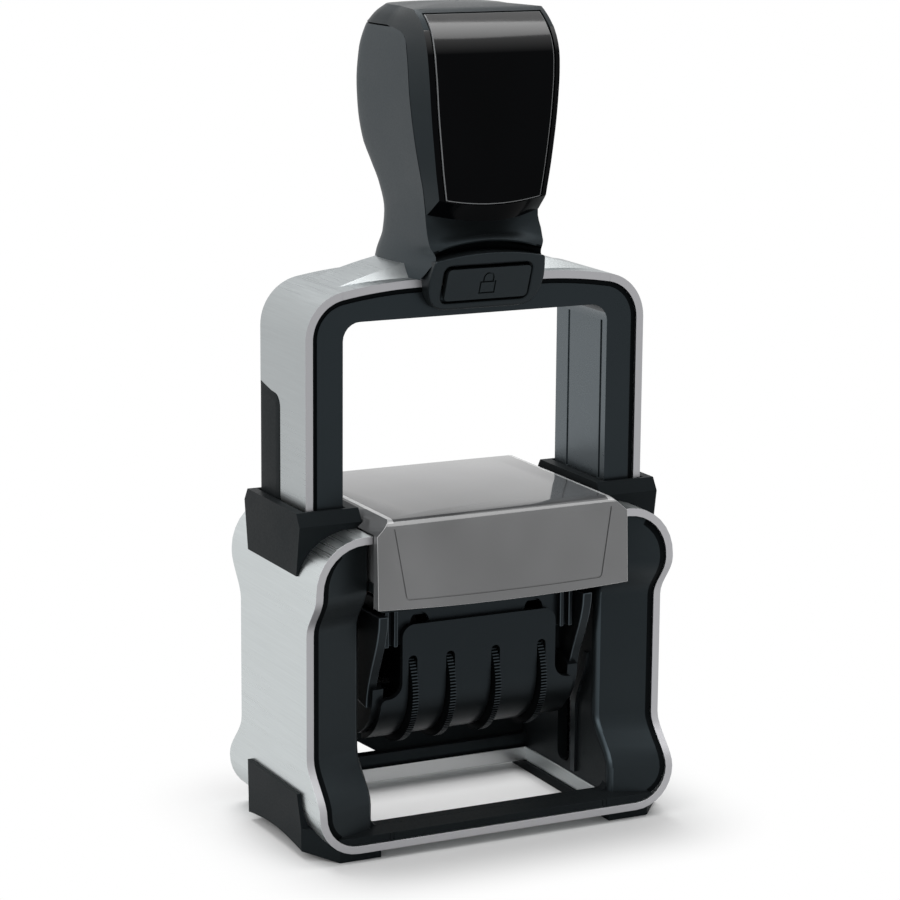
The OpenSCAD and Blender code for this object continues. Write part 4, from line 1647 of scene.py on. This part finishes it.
@dataclass
class Handle(Assembly):
    """Palm handle: soft grip with the neck, hard strap over front and top, gloss panel."""

    side_run: Run = Run((
        (108.4, 14.7), (112.0, 13.8), (115.5, 12.5), (119.5, 12.1), (124.6, 12.8), (128.6, 13.8),
        (132.7, 14.6), (138.8, 15.3), (143.8, 15.5), (149.4, 15.3), (154.0, 14.5), (156.7, 13.2), (158.3, 11.6)))
    back_run: Run = Run((
        (108.4, 10.5), (112.0, 10.8), (119.5, 11.0), (124.6, 11.8), (128.6, 13.0), (132.7, 14.7),
        (138.8, 15.4), (143.8, 15.5), (149.4, 15.0), (154.0, 13.8), (156.7, 12.2), (158.3, 10.7)))
    front_run: Run = Run((
        (119.5, 16.2), (124.6, 16.4), (128.6, 16.55), (132.7, 16.7), (138.8, 16.8), (143.8, 16.8),
        (149.4, 16.4), (152.5, 15.5), (155.0, 13.9), (157.2, 11.4), (158.3, 9.4)))
    seam_run: Run = Run((
        (108.4, -11.5), (110.5, -13.6), (112.4, -14.6), (116.3, -13.0), (120.1, -11.6), (123.6, -11.9),
        (130.0, -12.6), (136.1, -12.3), (142.2, -11.5), (148.2, -10.4), (152.3, -8.6), (153.7, -6.7),
        (154.5, -2.6), (154.7, 0.9)))
    tuck_run: Run = Run(((108.4, 1.9), (110.5, 2.1), (112.4, 2.6), (115.0, 0.7), (117.0, 0.3)))
    panel_run: Run = Run((
        (120.6, 9.6), (123.7, 10.0), (130.0, 10.9), (142.0, 12.1), (151.0, 12.5), (157.0, 12.2)))
    back_r: float = 5.5
    neck_back_r: float = 6.6
    lip_z: float = 120.6
    lip_y: float = -15.1
    panel_low: float = 123.7
    panel_top: float = 157.7
    seam_z: float = 154.7
    cap_z: float = 158.3
    top_z: float = 159.0
    arch: float = 1.3
    arch_end: float = 134.0
    rim: float = 1.15
    rim_back: float = 0.5
    rim_in: float = 0.15
    rim_lift: Flat = (0.35, 0.8)
    seam: float = 0.14
    wall: float = 1.2
    edge: float = 0.3
    hollow: float = 4.6
    hollow_z: float = 113.4
    hollow_arch: float = 1.8
    hollow_step: float = 0.5
    arch_blend: Flat = (4.0, 5.0)
    neck_foot: float = 108.4
    neck_z: float = 116.0
    neck_blend: Flat = (120.0, 16.0)
    neck_dip: Flat = (0.5, 3.0)
    neck_cells: int = 20
    shoulder_z: float = 150.0
    tuck_in: float = 0.2
    panel_edge: float = 0.22
    panel_step: float = 0.5
    strap_steps: tuple[float, ...] = (0.8, 1.4, 0.6, 0.3)
    grip_steps: tuple[float, ...] = (0.3, 1.1, 1.4, 0.5)
    cap_shares: tuple[float, ...] = (0.86, 0.66, 0.44, 0.22, 0.02)
    facets: int = 6
    rims: int = 2
    panels: int = 12
    sides: int = 8
    corners: int = 8
    backs: int = 4

    def front_half(self, z: float, gap: float, inset: float) -> list[Point]:
        """Returns the right half of the front at one height, from the seam to the middle.

        Args:
            z: The height.
            gap: Shift of the seam towards the back.
            inset: How far the panel's edge is moved towards the middle.

        Returns:
            Points from the seam to the middle.
        """
        side, front = self.side_run.at(z), self.front_run.at(z)
        seam = Vector((side - self.tuck_run.at(z), self.seam_run.at(z) + gap))
        half = self.panel_run.at(z)
        ridge = Vector((half + self.rim, self.rim_back - front))
        drop = min(max((self.panel_low - z) / (self.panel_low - self.lip_z), 0.0), 1.0)
        ridge = ridge.lerp(seam - Vector((self.rim_in, self.rim_in)), drop)
        middle = -front + drop * (self.lip_y + front)
        edge = Vector((min(half, ridge.x - self.rim * (1 - drop / 2)) - inset, 0.0))
        edge.y = middle + (ridge.y - middle) * self.rim_lift[0 if drop == 0 else 1]
        flat = [seam.lerp(ridge, i / self.facets) for i in range(self.facets)]
        flat += [ridge.lerp(edge, i / self.rims) for i in range(self.rims)]
        for i in range(self.panels + 1):
            share = 1 - i / self.panels
            flat.append(Vector((edge.x * share, middle + (edge.y - middle) * share * share)))
        bend = self.arch * (1 - ease_in((z - self.panel_low) / (self.arch_end - self.panel_low)))
        width = ridge.x
        return [(p.x, p.y, z - bend * max(1 - (p.x / width) ** 2, 0.0)) for p in flat]

    def back_half(self, z: float, gap: float) -> list[Point]:
        """Returns the right half of the side and back at one height, from the seam to the middle.

        Args:
            z: The height.
            gap: Shift of the seam towards the back.

        Returns:
            Points from the seam to the middle.
        """
        side, back = self.side_run.at(z), self.back_run.at(z)
        seam = self.seam_run.at(z) + gap
        start, run = self.neck_blend
        radius = self.neck_back_r + (self.back_r - self.neck_back_r) * ease_in((z - start) / run)
        stop = back - radius
        flat = []
        for i in range(self.sides):
            y = seam + (stop - seam) * i / self.sides
            flat.append((side - self.tuck_run.at(z) * (1 - i / self.sides) ** 2, y))
        flat += arc((side - radius, stop), radius, 0, 90, self.corners)[:-1]
        for i in range(self.backs + 1):
            share = 1 - i / self.backs
            flat.append(((side - radius) * share, back))
        return [(x, y, z) for x, y in flat]

    def ring(self, z: float, gap: float = 0.0, inset: float = 0.0) -> list[Point]:
        """Returns a whole ring, from the right seam over the front to the left seam and round the back.

        Args:
            z: The height.
            gap: Shift of the seam towards the back.
            inset: How far the panel's edge is moved towards the middle.

        Returns:
            The ring's points.
        """
        front, back = self.front_half(z, gap, inset), self.back_half(z, gap)
        left = [(-x, y, h) for x, y, h in reversed(front[:-1])]
        round_left = [(-x, y, h) for x, y, h in back[1:]]
        round_right = list(reversed(back[1:-1]))
        return front + left + round_left + round_right

    @property
    def front_cells(self) -> int:
        """Number of cells across the front, from seam to seam."""
        return 2 * (self.facets + self.rims + self.panels)

    def in_panel(self, column: int) -> bool:
        """Says whether a column of cells lies on the gloss panel."""
        start = self.facets + self.rims
        return start <= column < self.front_cells - start

    def strap(self) -> Piece:
        """Builds the hard strap with the panel's opening, the chin and the cap.

        Returns:
            The strap.
        """
        ends = (self.panel_low, self.seam_z, self.panel_top, self.cap_z)
        heights = levels(self.lip_z, *zip(ends, self.strap_steps))
        rings = [self.ring(z, -self.seam if z < self.seam_z else 0.0, -self.seam) for z in heights]
        seam_row = heights.index(self.seam_z)
        rings[seam_row] = [(x, y, z + self.seam) for x, y, z in rings[seam_row]]
        edge = rings[-1]
        for share in self.cap_shares:
            rise = (self.top_z - self.cap_z) * (1 - share * share)
            rings.append([(x * share, y * share, self.cap_z + rise) for x, y, _ in edge])
        opening = range(heights.index(self.panel_low), heights.index(self.panel_top))

        def wanted(row: int, column: int) -> bool:
            """Leaves out the panel's opening and the grip's back.

            Args:
                row: Row of the cell.
                column: Its column.

            Returns:
                Whether the cell belongs to the strap.
            """
            if column >= self.front_cells:
                return row >= seam_row
            return not (row in opening and self.in_panel(column))

        piece = patch("handle_shell", rings, wanted)
        thicken(piece, self.wall)
        ease_edges(piece, self.edge, 3, 22.0, False)
        settle(piece, BLACK, Body.BOW, "handle_strap")
        return repaint(piece, [GLOSS], lambda centre, normal: normal.y < -0.5 and centre.z < self.seam_z)

    def ceiling(self, share: float) -> float:
        """Returns the height of the hollow's ceiling at a share of the neck's half width."""
        return self.hollow_z + self.hollow_arch * (1 - share * share)

    def neck_front(self, z: float, right: Point) -> list[Point]:
        """Returns the hollowed front of the neck at one height, from the right end to the left.

        Args:
            z: The height.
            right: The ring's right seam point.

        Returns:
            Points between the two ends.
        """
        points = []
        rise = self.hollow_arch * ease_in((z - self.neck_foot) / self.arch_blend[0])
        rise *= 1 - ease_in((z - self.hollow_z) / self.arch_blend[1])
        for i in range(1, self.neck_cells):
            share = 1 - 2 * i / self.neck_cells
            dip = self.neck_dip[0] * (1 - share ** 4) * ease_in((z - self.hollow_z) / self.neck_dip[1])
            dip += self.hollow * ease_in((self.hollow_z - z) / self.hollow_step + 0.5) * (1 - share ** 10)
            points.append((right[0] * share, right[1] + dip, z + rise * (1 - share * share)))
        return points

    def grip(self) -> Piece:
        """Builds the soft grip: sides, back and neck.

        Returns:
            The grip.
        """
        ends = (self.neck_z, self.panel_low, self.shoulder_z, self.seam_z - self.seam)
        heights = levels(node_box("handle_grip")[0].z, *zip(ends, self.grip_steps))
        neck_rows = heights.index(self.panel_low)
        rings = []
        for z in heights:
            ring = self.ring(z, self.seam)
            right, left = ((*ring[i][:2], z) for i in (0, self.front_cells))
            rings.append([right, *self.neck_front(z, right), left, *ring[self.front_cells + 1:]])
        piece = patch("soft_grip", rings, lambda row, column: column >= self.neck_cells or row < neck_rows)
        thicken(piece, self.wall)
        ease_edges(piece, self.edge, 3, 30.0, False)
        settle(piece, GRIP, Body.BOW, "handle_grip")

        def choose(centre: Vector, _: Vector) -> int:
            """Chooses the finish of a face.

            Args:
                centre: The face's centre in millimetres.

            Returns:
                1 for the neck's front, 2 for its hollow in painted shade and 0 for the soft skin.
            """
            x, y, z = centre
            half = self.side_run.at(z)
            if abs(x) >= half - self.tuck_run.at(z) - self.tuck_in or y >= -self.wall:
                return 0
            return 2 if z < self.ceiling(x / half) else 1

        # The neck's hollow gets painted shade.
        return repaint(piece, (BLACK, SHADE_BLACK), choose)

    def panel(self) -> Piece:
        """Builds the gloss panel inside its seam, with a painted highlight on its rounded rim.

        Returns:
            The panel.
        """
        heights = levels(self.panel_low + self.seam, (self.panel_top - self.seam, self.panel_step))
        rings = [self.ring(z, 0.0, self.seam) for z in heights]
        piece = patch("gloss_panel", rings, lambda row, column: self.in_panel(column))
        thicken(piece, self.wall)
        ease_edges(piece, self.panel_edge, 3, 30.0, False)
        # The rounded rim gets a painted highlight.
        return dress_edges(settle(piece, GLOSS, Body.BOW, "handle_insert"), GLOSS_RIM_HIGHLIGHT)

    def build(self) -> list[Piece]:
        """Builds the handle."""
        return [self.grip(), self.strap(), self.panel()]


@dataclass
class Lock(Assembly):
    """Lock in front of the crossbar: leaning housing, button with a plain padlock mark, bolt."""

    head: Flat = (112.2, -15.6)
    foot: Flat = (102.4, -12.0)
    side: Run = Run(((102.4, 7.6), (102.6, 9.0), (103.2, 10.3), (104.4, 11.3), (106.0, 11.9), (108.0, 12.1),
                     (112.2, 11.5)))
    case_levels: tuple[float, ...] = (102.4, 102.6, 103.2, 104.4, 106.0, 108.0, 110.0, 112.2)
    crown: float = 1.2
    back: float = -10.2
    cut_past: float = 5.0
    edge: float = 0.45
    key_half: float = 8.7
    key_r: float = 0.8
    key_low: float = 104.3
    key_top: float = 110.5
    key_back: float = -12.65
    key_proud: float = 0.35
    key_gap: float = 0.5
    key_edge: float = 0.3
    bolt_edge: float = 0.2
    mark_w: float = 3.4
    mark_h: float = 2.5
    mark_line: float = 0.3
    mark_deep: float = 0.3
    mark_rise: float = 1.1
    bow_r: float = 1.15
    bow_rise: float = 0.6
    bolt_in: Flat = (0.1, 0.4)

    def lean(self, z: float) -> float:
        """Returns the depth of the leaning front at a height."""
        share = min(max((z - self.foot[0]) / (self.head[0] - self.foot[0]), 0.0), 1.0)
        return self.foot[1] + (self.head[1] - self.foot[1]) * share

    def slab(self, name: str, outline: Sequence[Flat], proud: float, back: float) -> Piece:
        """Extrudes an outline from a plane at the back to the leaning front.

        Args:
            name: Name of the object.
            outline: Points on X and Z.
            proud: How far it stands before the housing's front.
            back: Depth of its back.

        Returns:
            The object.
        """
        piece = prism(name, outline, Axis.Y, back - PAST, back)
        return reshape(piece, lambda x, y, z: (x, self.lean(z) - proud if y < back - PAST / 2 else y, z))

    def case(self) -> Piece:
        """Builds the housing with the button's pocket.

        Returns:
            The housing.
        """
        half = [(self.side.at(z), z) for z in self.case_levels]
        reach, top = half[-1]
        shares = [i / 4 for i in range(3, -4, -1)]
        roof = [(reach * share, top + self.crown * (1 - share * share)) for share in shares]
        outline = half + roof + [(-x, z) for x, z in reversed(half)]
        piece = self.slab("lock_case", outline, 0.0, self.back)
        pocket = self.key_outline(self.key_gap)
        carve(piece, prism("pocket", pocket, Axis.Y, self.head[1] - self.cut_past, self.back + PAST))
        ease_edges(piece, self.edge, 4, 40.0)
        return settle(piece, BLACK, Body.BOW, "lock_housing")

    def key_outline(self, grow: float) -> list[Flat]:
        """Returns the button's outline on X and Z, grown by a gap.

        Args:
            grow: The gap.

        Returns:
            The outline's points.
        """
        radius = self.key_r + grow
        x, low, top = self.key_half - self.key_r, self.key_low + self.key_r, self.key_top - self.key_r
        return both_sides([*arc((x, low), radius, -90, 0, 5), *arc((x, top), radius, 0, 90, 5)])

    def mark(self) -> list[Piece]:
        """Makes the cutters of the padlock mark.

        Returns:
            The cutters.
        """
        floor = self.key_low + self.mark_rise
        half, line, roof = self.mark_w / 2, self.mark_line, floor + self.mark_h
        outlines = [
            rectangle(-half, floor, half, floor + line), rectangle(-half, roof - line, half, roof),
            rectangle(-half, floor, line - half, roof), rectangle(half - line, floor, half, roof),
        ]
        middle, inner = (0.0, roof + self.bow_rise), self.bow_r - line
        outlines.append([(self.bow_r, roof), *arc(middle, self.bow_r, 0, 180, 10), (-self.bow_r, roof),
                         (-inner, roof), *arc(middle, inner, 180, 0, 10), (inner, roof)])
        return [self.cutter(outline) for outline in outlines]

    def cutter(self, outline: Sequence[Flat]) -> Piece:
        """Makes a cutter that goes into the button's leaning front by the mark's depth.

        Args:
            outline: Points on X and Z.

        Returns:
            The cutter.
        """
        piece = prism("mark", outline, Axis.Y, self.head[1] - self.cut_past, self.key_back)
        limit = self.key_back - PAST / 2
        return reshape(piece, lambda x, y, z: (
            x, self.lean(z) - self.key_proud + self.mark_deep if y > limit else y, z))

    def key(self) -> Piece:
        """Builds the button.

        Returns:
            The button.
        """
        piece = self.slab("lock_key", self.key_outline(0.0), self.key_proud, self.key_back)
        carve(piece, *self.mark())
        ease_edges(piece, self.key_edge, 3, 60.0)
        return settle(piece, BLACK, Body.LOCK, "lock_button")

    def bolt(self) -> Piece:
        """Builds the bolt, which ends in the button's back.

        Returns:
            The bolt.
        """
        piece = take_node("lock_bolt", "lock_slide_bolt")
        front, low = self.key_back - self.bolt_in[0], self.key_low + self.bolt_in[1]
        reshape(piece, lambda x, y, z: (x, max(y, front), max(z, low)))
        ease_edges(piece, self.bolt_edge)
        return settle(piece, BRIGHT, Body.LOCK, "lock_bolt")

    def build(self) -> list[Piece]:
        """Builds the lock."""
        return [self.case(), self.key(), self.bolt()]


@dataclass
class Dater(Assembly):
    """The turning dater: frame, cover, arms, axle, bridge, carrier, text plate and bands."""

    edge: float = 0.25
    fine_edge: float = 0.15
    bands: int = 4
    cover_wall: float = 1.2
    cover_half: float = 16.5
    roll_z: float = 30.0
    wing_z: float = 28.0
    top_r: float = 2.5
    cove_r: float = 3.0
    wing_r: float = 1.2
    slot_half: float = 0.95
    slot_top: float = 36.3
    roll_steps: int = 24
    arm_shift: float = 1.3
    posts: Flat = (17.5, 19.4)
    post: float = 0.8
    post_low: float = 38.3

    def comb(self, length: float) -> list[Flat]:
        """Draws the cover flat, as a comb with rounded corners and round slot ends.

        Args:
            length: Length of the comb from its top edge to its tips.

        Returns:
            Points of across and down.
        """
        low, high = node_box("dater_cover")
        radius, top = -low.y, high.z
        wing = top - self.roll_z + radius * math.asin((self.roll_z - self.wing_z) / radius)
        half, reach = self.cover_half, high.x
        right = arc((half - self.top_r, self.top_r), self.top_r, -90, 0, 8)
        right += arc((half + self.cove_r, wing - self.cove_r), self.cove_r, 180, 90, 8)
        right += arc((reach - self.wing_r, wing + self.wing_r), self.wing_r, -90, 0, 5)
        right.append((reach, length))
        tips = []
        head = top - self.slot_top + self.slot_half
        for x in reversed(WHEELS):
            tips += [(x + self.slot_half, length), *arc((x, head), self.slot_half, 0, -180, 8),
                     (x - self.slot_half, length)]
        return right + tips + [(-x, s) for x, s in reversed(right)]

    def cover(self) -> Piece:
        """Builds the front cover by rolling the comb round the wheels.

        Returns:
            The cover.
        """
        low, high = node_box("dater_cover")
        radius, top = -low.y, high.z
        straight = top - self.roll_z
        sweep = math.pi / 2 + math.asin(min((high.y / (radius - self.cover_wall)), 0.0))
        length = straight + radius * sweep
        outline = self.comb(length)
        piece = add_mesh("dater_front_cover", [(x, 0.0, -s) for x, s in outline], [range(len(outline))])
        with Workbench(piece) as bench:
            for i in range(self.roll_steps):
                level = straight + radius * sweep * i / self.roll_steps
                bmesh.ops.bisect_plane(
                    bench.mesh, geom=[*bench.mesh.verts, *bench.mesh.edges, *bench.mesh.faces],
                    plane_co=(0.0, 0.0, -level * MM), plane_no=(0.0, 0.0, 1.0))
            for vertex in bench.mesh.verts:
                s = -vertex.co.z / MM
                angle = max(s - straight, 0.0) / radius
                vertex.co.y = -radius * math.cos(angle) * MM
                vertex.co.z = (top - s if s < straight else self.roll_z - radius * math.sin(angle)) * MM
            bmesh.ops.recalc_face_normals(bench.mesh, faces=bench.mesh.faces)
            bench.mesh.normal_update()
            lead = max(bench.mesh.faces, key=lambda face: face.calc_area())
            if lead.normal.y > 0:
                bmesh.ops.reverse_faces(bench.mesh, faces=bench.mesh.faces)
        thicken(piece, self.cover_wall)
        ease_edges(piece, self.edge)
        # The rounded edges get a painted highlight.
        return dress_edges(settle(piece, DATER_BLACK, Body.DATER, "dater_cover"), PAINTED_EDGE_BLACK)

    def arm(self, side: Side) -> Piece:
        """Builds a swing arm close to the cover.

        Args:
            side: Its side.

        Returns:
            The arm.
        """
        node = f"{side.word}_arm"
        piece = take_node(node, f"{side.word}_swing_arm")
        reshape(piece, lambda x, y, z: (x - side.value * self.arm_shift, y, z))
        ease_edges(piece, self.edge)
        # The rounded edges get a painted highlight.
        return dress_edges(settle(piece, DATER_BLACK, Body.DATER, node), PAINTED_EDGE_BLACK)

    def stays(self, side: Side) -> list[Piece]:
        """Builds the two posts that stand beside the cover.

        Args:
            side: Their side.

        Returns:
            The posts.
        """
        top, front = node_box("dater_frame")[1].z, node_box("dater_cover")[0].y
        pieces = []
        for k, place in enumerate(self.posts):
            inner, outer = sorted((side.value * place, side.value * (place + self.post)))
            piece = prism(f"{side.word}_post_{k + 1}", rectangle(inner, self.post_low, outer, top), Axis.Y,
                          front, front + 2 * self.post)
            ease_edges(piece, self.fine_edge)
            # The rounded edges get a painted highlight.
            pieces.append(dress_edges(settle(piece, DATER_BLACK, Body.DATER), PAINTED_EDGE_BLACK))
        return pieces

    def build(self) -> list[Piece]:
        """Builds the dater.

        Returns:
            Its pieces.
        """
        pieces = [self.cover()]
        for side in Side:
            pieces += [self.arm(side), *self.stays(side)]
        for node, name, finish, edge in (
            ("dater_frame", "dater_cheeks", DATER_BLACK, self.edge),
            ("wheel_axle", "dater_axle", DARK_STEEL, self.edge),
            ("band_bridge", "date_bridge", DATER_BLACK, self.fine_edge),
            ("plate_carrier", "plate_tray", BLACK, self.edge),
            ("text_plate", "rubber_plate", RUBBER, self.fine_edge),
        ):
            pieces.append(eased_node(node, name, finish, Body.DATER, edge))
        for k in range(1, self.bands + 1):
            band = f"date_band_{k}"
            pieces.append(eased_node(band, f"number_band_{k}", BAND_RUBBER, Body.DATER, self.fine_edge))
        return pieces


@dataclass
class SettingWheels(Assembly):
    """Finely serrated wheels that set the date."""

    edge: float = 0.05
    teeth: int = 120
    tooth: float = 0.45
    rim: float = 1.6
    sunk: float = 0.9
    tip: float = 0.3
    half: float = 0.66

    def tyre(self, place: float, centre: Flat, radius: float) -> Piece:
        """Makes the toothed ring of a wheel.

        Args:
            place: Where the ring's middle is on X.
            centre: The axle's depth and height.
            radius: Radius over the teeth.

        Returns:
            The ring.
        """
        step = 2 * math.pi / self.teeth
        rings = []
        for x in (place - self.half, place + self.half):
            for inner in (False, True):
                ring = []
                for k in range(self.teeth):
                    for share, drop in ((0.0, self.tooth), (0.2, 0.0), (0.6, 0.0), (0.8, self.tooth)):
                        reach, angle = radius - (self.rim if inner else drop), (k + share) * step
                        ring.append((x, centre[0] + reach * math.cos(angle), centre[1] + reach * math.sin(angle)))
                rings.append(ring)
        count = len(rings[0])
        faces = []
        for first, second in ((0, 2), (1, 3), (0, 1), (2, 3)):
            for i in range(count):
                j = (i + 1) % count
                faces.append((first * count + i, first * count + j, second * count + j, second * count + i))
        return outward(add_mesh("tyre", [point for ring in rings for point in ring], faces))

    def wheel(self, body: Body, place: float) -> Piece:
        """Builds a wheel: its spool and, round it, the fine teeth.

        Args:
            body: The wheel's body.
            place: Where its teeth are on X.

        Returns:
            The wheel.
        """
        node = f"setting_{body.value}"
        piece = take_node(node, f"date_{body.value}")
        low, top = node_box(node)
        axle, radius = (low + top) / 2, (top.z - low.z) / 2

        def sink(x: float, y: float, z: float) -> Point:
            """Draws the spool's coarse teeth in under the fine ones.

            Args:
                x: X of a corner in millimetres.
                y: Its Y.
                z: Its Z.

            Returns:
                Its new place.
            """
            deep, high = y - axle.y, z - axle.z
            reach = math.hypot(deep, high)
            share = (radius - self.sunk) / reach if reach > radius - self.rim else 1.0
            return x, axle.y + deep * share, axle.z + high * share

        reshape(piece, sink)
        combine(piece, Merge.JOIN, [self.tyre(place, (axle.y, axle.z), radius)])
        ease_edges(piece, self.edge, 1)
        settle(piece, WHEEL_BLACK, body, node)
        foot = radius - self.tip * self.tooth
        # The roots between the teeth get painted shade.
        return repaint(piece, [SHADE_BLACK], lambda centre, normal: (centre - axle).yz.length <= foot)

    def build(self) -> list[Piece]:
        """Builds the four wheels."""
        bodies = [body for body in Body if body.value.startswith("wheel")]
        return [self.wheel(body, place) for body, place in zip(bodies, WHEELS)]


@dataclass(frozen=True)
class Lamp:
    """A soft box: where it stands, what it points at, its size and its power in watts."""

    name: str
    place: Point
    aim: Point
    size: Flat
    power: float

    def build(self) -> Piece:
        """Hangs the lamp.

        Returns:
            The lamp.
        """
        light = bpy.data.lights.new(self.name, "AREA")
        light.shape = "RECTANGLE"
        light.size, light.size_y = (edge * MM for edge in self.size)
        light.energy = self.power
        lamp = bpy.data.objects.new(self.name, light)
        bpy.context.scene.collection.objects.link(lamp)
        start = Vector(self.place) * MM
        lamp.location = start
        lamp.rotation_euler = (Vector(self.aim) * MM - start).to_track_quat("-Z", "Y").to_euler()
        return lamp


@dataclass
class Studio:
    """Pale floor, soft boxes, white surroundings and the photograph's camera."""

    azimuth: float = -26.54
    elevation: float = 12.139
    roll: float = 0.465
    distance: float = 598.15
    aim_z: float = 74.8
    drift: Flat = (-0.544, -2.096)
    focal: float = 3089.64
    image: float = 900.0
    sensor: float = 36.0
    clip: Flat = (0.01, 30.0)
    floor_half: float = 4000.0
    floor_white: float = 0.80
    # Glow of the floor for the camera inside the window and outside it: painted light in the window.
    window_glow: Flat = (0.25, 0.0)
    lift_end: float = 0.003
    window: Point = (0.022, 0.0145, 1.0)
    sweep: Flat = (0.003, 0.029)
    footprint: Point = (0.030, 0.0205, 1.0)
    ambient: float = 0.48
    lamps: tuple[Lamp, ...] = (
        Lamp("front_box", (345.0, -230.0, 1055.0), (0.0, 0.0, 120.0), (520.0, 680.0), 3.0),
        Lamp("side_box", (-820.0, -260.0, 520.0), (0.0, 0.0, 70.0), (600.0, 700.0), 2.9),
        Lamp("rear_box", (-40.0, 400.0, 900.0), (0.0, 0.0, 60.0), (680.0, 460.0), 5.3),
    )

    def camera(self) -> None:
        """Sets the camera where the photograph was taken."""
        a, e, r = (math.radians(v) for v in (self.azimuth, self.elevation, self.roll))
        back = Vector((math.sin(a) * math.cos(e), -math.cos(a) * math.cos(e), math.sin(e)))
        level = Vector((math.cos(a), math.sin(a), 0.0))
        upright = back.cross(level)
        right = math.cos(r) * level + math.sin(r) * upright
        up = math.cos(r) * upright - math.sin(r) * level
        place = Vector((0.0, 0.0, self.aim_z)) + back * self.distance
        place += right * self.drift[0] + up * self.drift[1]
        lens = bpy.data.cameras.new("photo_camera")
        lens.sensor_width = self.sensor
        lens.lens = self.focal / self.image * self.sensor
        lens.clip_start, lens.clip_end = self.clip
        camera = bpy.data.objects.new("photo_camera", lens)
        bpy.context.scene.collection.objects.link(camera)
        turn = Matrix((right, up, back)).transposed().to_4x4()
        camera.matrix_world = Matrix.Translation(place * MM) @ turn
        bpy.context.scene.camera = camera

    @staticmethod
    def seen(nodes: Nodes) -> Socket:
        """Returns a socket that is 1 for the camera, for reflections and through clear parts, and 0 for light.

        Args:
            nodes: The tree that gets the nodes.

        Returns:
            The socket.
        """
        path = nodes.node("ShaderNodeLightPath")
        total = path.outputs["Is Camera Ray"]
        for ray in ("Is Glossy Ray", "Is Transmission Ray"):
            total = nodes.calc("MAXIMUM", total, path.outputs[ray])
        return total

    def surroundings(self) -> None:
        """Lights the object evenly, and shows white to the camera, to gloss and through clear parts."""
        world = bpy.data.worlds.new("studio")
        bpy.context.scene.world = world
        world.use_nodes = True
        nodes = Nodes(world.node_tree)
        background = nodes.tree.nodes["Background"]
        background.inputs["Color"].default_value = WHITE
        strength = nodes.remap(self.seen(nodes), To_Min=self.ambient, To_Max=1.0)
        nodes.link(strength, background.inputs["Strength"])

    @staticmethod
    def beyond(shader: Shader, half: Point) -> Socket:
        """Adds the distance from a rectangle about the middle of the floor.

        Args:
            shader: The floor's nodes.
            half: Half the rectangle's size in metres.

        Returns:
            The distance in metres, 0 inside the rectangle.
        """
        place = shader.node("ShaderNodeTexCoord").outputs["Object"]
        for step, amount in (("ABSOLUTE", None), ("SUBTRACT", half), ("MAXIMUM", (0.0, 0.0, 0.0)), ("LENGTH", None)):
            node = shader.node("ShaderNodeVectorMath")
            node.operation = step
            if amount:
                node.inputs[1].default_value = amount
            shader.link(place, node.inputs[0])
            place = node.outputs["Value" if step == "LENGTH" else "Vector"]
        return place

    def floor(self) -> None:
        """Lays the floor, which keeps the shadow near the object and runs out to white behind it; inside the window it
        glows for the camera, a painted light that lifts the shade there.
        """
        half = self.floor_half
        floor = add_mesh("floor", [(x, y, 0.0) for x, y in rectangle(-half, -half, half, half)], [range(4)])
        shader = Shader("pale_floor")
        grain = shader.noise((400.0, 400.0, 400.0))
        white = (self.floor_white,) * 3
        shader.feed("Base Color", shader.tint(grain, shade(white, 0.995), shade(white, 1.005)))
        shader.fix(Roughness=0.9, Specular_IOR_Level=0.1, Emission_Color=WHITE)
        window_glow_strength = shader.remap(self.beyond(shader, self.window), From_Max=self.lift_end,
                            To_Min=self.window_glow[0], To_Max=self.window_glow[1])
        camera = shader.node("ShaderNodeLightPath").outputs["Is Camera Ray"]
        shader.feed("Emission Strength", shader.calc("MULTIPLY", camera, window_glow_strength))
        fade = shader.remap(self.beyond(shader, self.footprint), From_Min=self.sweep[0], From_Max=self.sweep[1])
        fade.node.interpolation_type = "SMOOTHSTEP"
        paper = shader.node("ShaderNodeEmission", Color=WHITE, Strength=1.0)
        blend = shader.node("ShaderNodeMixShader")
        shader.link(shader.calc("MULTIPLY", fade, self.seen(shader)), blend.inputs["Fac"])
        shader.link(shader.surface.outputs["BSDF"], blend.inputs[1])
        shader.link(paper.outputs["Emission"], blend.inputs[2])
        shader.link(blend.outputs["Shader"], shader.tree.nodes["Material Output"].inputs["Surface"])
        floor.data.materials.append(shader.material)

    def build(self) -> None:
        """Sets up the studio."""
        bpy.context.scene.view_settings.view_transform = "Standard"
        self.camera()
        self.surroundings()
        self.floor()
        for lamp in self.lamps:
            lamp.build()


def main() -> None:
    """Builds the stamp and its studio."""
    logging.basicConfig(level=logging.INFO, format="%(name)s: %(message)s")
    Studio().build()
    for assembly in (Cladding(), Chassis(), Collars(), Hood(), InkCartridge(), Springs(), Bow(), Handle(), Lock(),
                     Dater(), SettingWheels()):
        for piece in assembly.build():
            LOG.info("%s: %s", type(assembly).__name__, piece.name)


if __name__ == "__main__":
    main()
